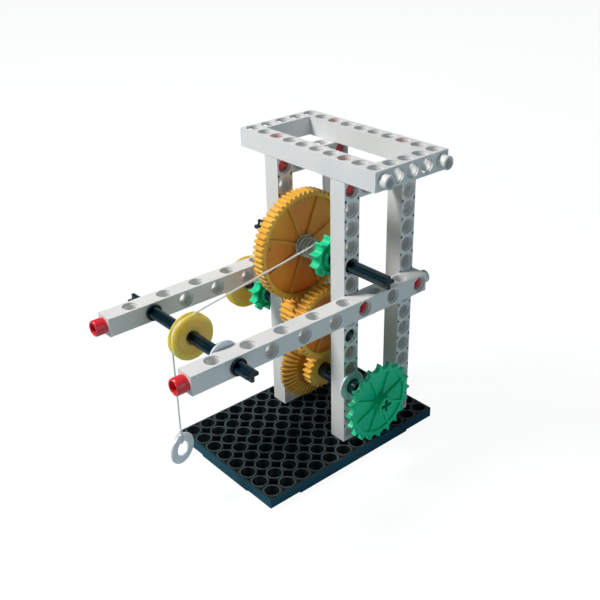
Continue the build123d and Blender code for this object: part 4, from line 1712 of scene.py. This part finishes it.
@dataclass
class Winding:
    """The turns of string on the winch axle: two tidy layers under some crossing loops."""

    near: float = -9.0
    far: float = 6.5
    margin: float = 0.4
    small_end: float = 4.7
    large_end: float = 6.0
    inset: float = 0.29
    turn_steps: int = 30
    loop_steps: int = 48
    edge_loops: tuple[float, ...] = (6.1, 5.6, 5.0)
    free_loops: int = 6
    twine: Twine = field(default_factory=lambda: Twine(radius=0.27, step=0.6, sides=4))

    def envelope(self, y: float) -> float:
        """Outer radius of the winding at a depth along the axle."""
        return self.small_end + (self.large_end - self.small_end) * (y - self.near) / (self.far - self.near)

    def point(self, y: float, r: float, a: float) -> Vector:
        """Point at a depth, radius and angle round the winch axle."""
        x, z = GRID.winch
        return Vector((x + r * math.cos(a), y, z + r * math.sin(a)))

    def hold(self, y: float) -> float:
        """Keeps a depth between the winding's ends."""
        return min(max(y, self.near + self.margin), self.far - self.margin)

    def build(self) -> bpy.types.Object:
        """Builds the winding.

        Returns:
            The piece.
        """
        rng = random.Random(7)
        form = Form()
        low, high = self.near + 0.3, self.far - 0.3
        # A dark sleeve under the turns fills the gaps between them with painted shade.
        shade_sleeve = [(AXLE_HOLE, low), (3.75, low), (3.9, high), (AXLE_HOLE, high)]
        form.lathe(shade_sleeve, (GRID.winch[0], 0, GRID.winch[1]), steps=40, material=SECOND)
        self.layer(form, rng, 0, (self.near + 0.5, self.far - 0.5), turns=12)
        self.layer(form, rng, 1, (self.near + 2.0, self.far - 0.6), turns=5)
        for depth in self.edge_loops:
            self.loop(form, rng, depth)
        for _ in range(self.free_loops):
            self.loop(form, rng)
        return form.piece("wound_string", Body.WINCH, Slot.STRING, [COTTON, COTTON_PAINTED_SHADE], "string_winding")

    def layer(self, form: Form, rng: random.Random, level: int, ends: Point, turns: int) -> None:
        """Lays one layer of turns side by side.

        Args:
            form: the form to add them to.
            rng: source of the layer's sway and phase.
            level: 0 for the layer on the axle, 1 for the one over it.
            ends: depths of its first and last turn.
            turns: number of turns.
        """
        sway = rng.uniform(0.3, 0.6)
        phase = rng.uniform(0, TURN)
        steps = turns * self.turn_steps
        first, last = ends
        path = []
        for i in range(steps + 1):
            a = i / self.turn_steps * TURN + phase
            y = self.hold(first + i / steps * (last - first) + sway * math.sin(a))
            r = min(4.2 + 0.5 * level + 0.12 * math.sin(a * 1.3), self.envelope(y) - self.inset)
            path.append(self.point(y, r, a))
        self.twine.lay_along(form, path)

    def loop(self, form: Form, rng: random.Random, depth: float | None = None) -> None:
        """Lays one slanting loop over the layers.

        Args:
            form: the form to add it to.
            rng: source of its slant, place and phase.
            depth: its depth along the axle. Without one it lies anywhere and slants more.
        """
        free = depth is None
        tilt = rng.uniform(-2.0, 2.0) * (1.0 if free else 0.3)
        middle = rng.uniform(-4.0, 5.5) if free else depth
        phase = rng.uniform(0, TURN)
        path = []
        for i in range(self.loop_steps + 1):
            a = i / self.loop_steps * TURN
            y = self.hold(middle + tilt * math.sin(a + phase))
            r = self.envelope(y) - self.inset - rng.uniform(0.0, 0.03)
            path.append(self.point(y, r, a))
        self.twine.lay_along(form, path)


@dataclass
class StringAndLoad:
    """The string from the winding to the load, and the washer tied to its end."""

    drop_x: float = -85.7
    drop_y: float = -3.0
    start: Place = (3.953, -6.5, 117.613)
    corner: float = 100.891
    straight: float = 15.0
    split: float = 91.0
    drop_end: float = 43.0
    lift: float = 35.14
    load_z: float = 31.5
    load_turn: float = 15.0
    washer: float = 8.3
    washer_bore: float = 3.9
    washer_thick: float = 1.2
    knot_level: float = 41.5
    knot_radius: float = 0.62
    twine: Twine = field(default_factory=Twine)

    def build(self) -> None:
        """Builds the string's pieces and the load."""
        self.lead(Winding().build())
        self.drop()
        self.load()

    def lead(self, winding: bpy.types.Object) -> None:
        """Builds the slanted run from the winding over the guide pulley.

        Args:
            winding: the piece that holds the rest of the string; not used.
        """
        corner = (self.drop_x, self.drop_y, self.corner)
        reach = Vector(self.start) - Vector(corner)
        before = Vector(corner) + reach.normalized() * self.straight
        line = nurbs_line([self.start, tuple(before), corner, (self.drop_x, self.drop_y, self.split)])
        run = Form()
        self.twine.lay_along(run, line)
        lead = run.piece("string_lead", Body.ROOT, Slot.STRING, [COTTON], "string_run")

    def drop(self) -> None:
        """Builds the vertical drop at one fixed length, though the real drop shortens as the load rises,
        and the tie at its end.
        """
        line = nurbs_line([(self.drop_x, self.drop_y, z) for z in (self.split, 75.0, 59.0, self.drop_end)])
        hang = Form()
        self.twine.lay_along(hang, line)
        drop = hang.piece("string_fall", Body.ROOT, Slot.STRING, [COTTON], "string_drop")
        tie = self.tie()
        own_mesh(drop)

    def tie(self) -> bpy.types.Object:
        """Builds the loop through the washer, the knot and the loose tail.

        Returns:
            The tie.
        """
        x, y = self.drop_x, self.drop_y
        form = Form()
        self.loop(form)
        for turn, tilt in ((0.0, 0.5), (1.1, -0.6), (2.3, 0.4)):
            knot = []
            for i in range(21):
                t = i / 20 * TURN
                out = Vector((math.cos(t + turn), math.sin(t + turn), 0)) * self.knot_radius
                knot.append(out + Vector((x, y, self.knot_level + 0.35 * turn + tilt * 0.5 * math.sin(t))))
            Twine(radius=0.42, step=0.35).lay_along(form, knot)
        away = [(0.0, 0.0, 41.4), (-1.6, -0.4, 41.8), (-3.4, 0.4, 39.0), (-4.1, 1.0, 34.5)]
        away.append((-5.0, 1.6, 30.6))
        tail = nurbs_line([(x + dx, y + dy, z) for dx, dy, z in away])
        Twine(radius=0.3, step=0.35).lay_along(form, tail)
        return form.piece("string_tie", Body.WEIGHT, Slot.STRING, [COTTON], "weight_knot")

    def loop(self, form: Form) -> None:
        """Adds the loop that goes through the washer and round its upper edge.

        Args:
            form: the form to add it to.
        """
        a = math.radians(self.load_turn)
        across = Vector((-math.sin(a), math.cos(a), 0))
        along = Vector((math.cos(a), math.sin(a), 0))
        middle = Vector((self.drop_x, self.drop_y, self.load_z + (self.washer + self.washer_bore) / 2))
        reach = (self.washer - self.washer_bore) / 2 + 0.65
        path = []
        for i in range(33):
            t = i / 32 * TURN + math.pi / 2
            side = across * (1.15 * math.cos(t)) + along * (0.35 * math.sin(t))
            path.append(middle + side + Vector((0, 0, reach * math.sin(t))))
        Twine(radius=0.45).lay_along(form, path)

    def load(self) -> None:
        """Builds the washer that hangs as the load."""
        half = self.washer_thick / 2
        disc = Form()
        disc.lathe(ring_profile(self.washer_bore, self.washer, -half, half, 0.25), steps=72)
        disc.turn(math.radians(self.load_turn), "Z")
        disc.move((self.drop_x, self.drop_y, self.load_z))
        disc.piece("hanging_washer", Body.WEIGHT, Slot.WASHER, [WASHER_ICE], "weight_washer")


# ---------------------------------------------------------------------------------------------
# Turning sub-assemblies
# ---------------------------------------------------------------------------------------------


class WinchShaft:
    """Winch axle with its large gear and chain sprocket."""

    def build(self) -> None:
        """Builds every piece on the winch axle except the string."""
        on = (Body.WINCH, GRID.winch)
        CrossAxle("winch_shaft", "winch_axle", *on, start=-56.0).build()
        GearWheel(
            "large_gear",
            "winch_gear",
            *on,
            start=4.2,
            teeth=60,
            inner=27.0,
            addendum=0.3,
            hub_span=(2.5, 10.0),
            rib_inner=6.3,
            pip=22.5,
        ).build()
        Sprocket("winch_chain_wheel", "winch_sprocket", *on, start=-17.0, near=-15.5).build()


class IntermediateShaft:
    """Intermediate axle with its gears, bush, chain sprocket and large pulley."""

    def build(self) -> None:
        """Builds every piece on the intermediate axle."""
        on = (Body.INTERMEDIATE, GRID.intermediate)
        CrossAxle("intermediate_shaft", "intermediate_axle", *on, start=-28.5).build()
        GearWheel("middle_gear", "intermediate_gear", *on, start=-12.0, teeth=40, inner=17.0).build()
        SpurGear("twin_pinions", "intermediate_pinions", *on, start=4.8, more_rings=(10.2,)).build()
        Bush("spacer", "far_spacer_bush", *on, start=30.2, length=5.8).build()
        Sprocket("far_chain_wheel", "far_sprocket", *on, start=36.0, near=37.5).build()
        Pulley("large_pulley", "far_pulley", *on, start=58.0, radius=15.5).build()


class CrankShaft:
    """Crank axle with the hand wheel, bushes, washer, pinion and crown gear."""

    def build(self) -> None:
        """Builds every piece on the crank axle."""
        on = (Body.CRANK, GRID.crank)
        CrossAxle("crank_shaft", "crank_axle", *on, start=-54.0, length=88.0).build()
        HandWheel("turning_wheel", "hand_wheel", *on, start=-56.5, near=-52.0).build()
        Bush("outer_bush", "crank_outer_bush", *on, start=-36.4, length=5.0).build()
        Washer("shaft_washer", "crank_washer", *on, start=-31.4).build()
        Bush("inner_bush", "crank_inner_bush", *on, start=-19.8, length=11.2).build()
        SpurGear("drive_pinion", "crank_pinion", *on, start=-8.6, width=5.5).build()
        CrownGear("crown_wheel", "crown_gear", *on, start=-0.5).build()


class GuideShaft:
    """Guide axle with its pulley, washer, stop and collars."""

    def build(self) -> None:
        """Builds every piece on the guide axle."""
        on = (Body.GUIDE, GRID.guide)
        CrossAxle("guide_shaft", "guide_axle", *on, start=-51.0).build()
        Pulley("small_pulley", "guide_pulley", *on, start=-3.0, radius=12.0).build()
        Washer("arm_washer", "guide_washer", *on, start=-29.8).build()
        Bush("axle_stop", "guide_stop", *on, start=-28.6, length=3.0, radius=6.4, round_edge=0.6).build()
        Bush("near_collar", "near_arm_collar", *on, start=-41.7, length=1.5).build()
        Bush("far_collar", "far_arm_collar", *on, start=28.3, length=1.5).build()


# ---------------------------------------------------------------------------------------------
# Stage
# ---------------------------------------------------------------------------------------------


@dataclass
class Studio:
    """Camera, floor, sky and lamps."""

    eye: Place = (-267.269, -311.251, 297.242)
    azimuth: float = -40.254
    elevation: float = 27.512
    roll: float = -1.314
    lens: float = 52.11
    aim: Place = (-10.0, 0.0, 80.0)
    glow: float = 1.175
    veil: float = 0.8
    patch_x: float = 59.0
    patch_y: float = 39.0

    def build(self) -> None:
        """Sets up the whole stage."""
        bpy.context.scene.view_settings.view_transform = "Standard"
        self.camera()
        self.floor()
        self.sky()
        self.lamp("key", (-700, 530, 1100), size=0.35, power=20.3, tint=(1.0, 0.98, 0.965))
        self.lamp("fill", (-60, -1150, 330), size=0.8, power=3.0, tint=(0.82, 0.94, 1.0))
        self.lamp("rim", (620, 800, 500), size=0.6, power=0.6, tint=(1.0, 1.0, 1.0))

    def camera(self) -> None:
        """Places the camera."""
        a, e, r = (math.radians(v) for v in (self.azimuth, self.elevation, self.roll))
        back = Vector((math.sin(a) * math.cos(e), -math.cos(a) * math.cos(e), math.sin(e)))
        right = Vector((0, 0, 1)).cross(back).normalized()
        up = back.cross(right)
        side = right * math.cos(r) + up * math.sin(r)
        head = up * math.cos(r) - right * math.sin(r)
        lens = bpy.data.cameras.new("view")
        lens.lens = self.lens
        lens.sensor_width = 36
        lens.clip_start = 0.01
        camera = bpy.data.objects.new("view", lens)
        turn = Matrix((side, head, back)).transposed().to_4x4()
        camera.matrix_world = Matrix.Translation(Vector(self.eye) * MM) @ turn
        bpy.context.scene.collection.objects.link(camera)
        bpy.context.scene.camera = camera

    def floor(self) -> None:
        """Lays the pale floor."""
        bm = bmesh.new()
        place = Matrix.Translation((0, 0, -0.02 * MM))
        bmesh.ops.create_grid(bm, x_segments=1, y_segments=1, size=4000 * MM, matrix=place)
        mesh = bpy.data.meshes.new("floor")
        bm.to_mesh(mesh)
        bm.free()
        mesh.materials.append(self.floor_paint())
        made = bpy.data.objects.new("floor", mesh)
        bpy.context.scene.collection.objects.link(made)

    def floor_paint(self) -> bpy.types.Material:
        """Makes the floor's paint: plain under the plate, and mostly a white glow to the camera elsewhere.

        Returns:
            The material.
        """
        paint = bpy.data.materials.new("floor_paint")
        paint.use_nodes = True
        nodes, links = paint.node_tree.nodes, paint.node_tree.links
        shader = nodes["Principled BSDF"]
        shader.inputs["Base Color"].default_value = (0.42, 0.52, 0.56, 1)
        shader.inputs["Roughness"].default_value = 0.9
        glow = nodes.new("ShaderNodeEmission")
        glow.inputs["Strength"].default_value = self.glow
        rays = nodes.new("ShaderNodeLightPath")
        place = nodes.new("ShaderNodeTexCoord")
        apart = nodes.new("ShaderNodeVectorMath")
        apart.operation = "ABSOLUTE"
        sides = nodes.new("ShaderNodeSeparateXYZ")
        links.new(place.outputs["Object"], apart.inputs[0])
        links.new(apart.outputs["Vector"], sides.inputs["Vector"])
        past_x = self.sum_node(nodes, "GREATER_THAN", self.patch_x * MM)
        past_y = self.sum_node(nodes, "GREATER_THAN", self.patch_y * MM)
        outside = self.sum_node(nodes, "MAXIMUM")
        veil = self.sum_node(nodes, "MINIMUM", self.veil)
        share = self.sum_node(nodes, "MULTIPLY")
        links.new(sides.outputs["X"], past_x.inputs[0])
        links.new(sides.outputs["Y"], past_y.inputs[0])
        links.new(past_x.outputs["Value"], outside.inputs[0])
        links.new(past_y.outputs["Value"], outside.inputs[1])
        links.new(outside.outputs["Value"], veil.inputs[0])
        links.new(rays.outputs["Is Camera Ray"], share.inputs[0])
        links.new(veil.outputs["Value"], share.inputs[1])
        blend = nodes.new("ShaderNodeMixShader")
        links.new(share.outputs["Value"], blend.inputs["Fac"])
        links.new(shader.outputs["BSDF"], blend.inputs[1])
        links.new(glow.outputs["Emission"], blend.inputs[2])
        links.new(blend.outputs["Shader"], nodes["Material Output"].inputs["Surface"])
        return paint

    def sum_node(self, nodes: bpy.types.Nodes, operation: str, second: float = 0.5) -> bpy.types.Node:
        """Adds a Math node.

        Args:
            nodes: the tree's nodes.
            operation: what it works out.
            second: its second value, where nothing is linked to it.

        Returns:
            The node.
        """
        made = nodes.new("ShaderNodeMath")
        made.operation = operation
        made.inputs[1].default_value = second
        return made

    def sky(self) -> None:
        """Makes the world white to the camera and soft to the object."""
        world = bpy.data.worlds.new("sky")
        bpy.context.scene.world = world
        world.use_nodes = True
        nodes, links = world.node_tree.nodes, world.node_tree.links
        soft = nodes["Background"]
        soft.inputs["Color"].default_value = (0.62, 0.90, 1.0, 1)
        soft.inputs["Strength"].default_value = 0.08
        white = nodes.new("ShaderNodeBackground")
        white.inputs["Color"].default_value = (1, 1, 1, 1)
        rays = nodes.new("ShaderNodeLightPath")
        blend = nodes.new("ShaderNodeMixShader")
        links.new(rays.outputs["Is Camera Ray"], blend.inputs["Fac"])
        links.new(soft.outputs["Background"], blend.inputs[1])
        links.new(white.outputs["Background"], blend.inputs[2])
        links.new(blend.outputs["Shader"], nodes["World Output"].inputs["Surface"])

    def lamp(self, name: str, at: Place, size: float, power: float, tint: Tint) -> None:
        """Adds a square area lamp that faces the object.

        Args:
            name: the lamp's name.
            at: its place, in millimetres.
            size: its side, in metres.
            power: its power, in watts.
            tint: its colour.
        """
        light = bpy.data.lights.new(name, "AREA")
        light.size = size
        light.energy = power
        light.color = tint
        made = bpy.data.objects.new(name, light)
        place = Vector(at) * MM
        turn = (place - Vector(self.aim) * MM).to_track_quat("Z", "Y").to_matrix().to_4x4()
        made.matrix_world = Matrix.Translation(place) @ turn
        bpy.context.scene.collection.objects.link(made)


def main() -> None:
    """Builds the object and its stage in order."""
    logging.basicConfig(level=logging.INFO, format="%(name)s: %(message)s")
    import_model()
    Studio().build()
    StringAndLoad().build()
    structure = (BasePlate(), Frames(), Arms(), ConnectorPins())
    shafts = (WinchShaft(), IntermediateShaft(), CrankShaft(), GuideShaft())
    for part in structure + shafts:
        part.build()


if __name__ == "__main__":
    main()
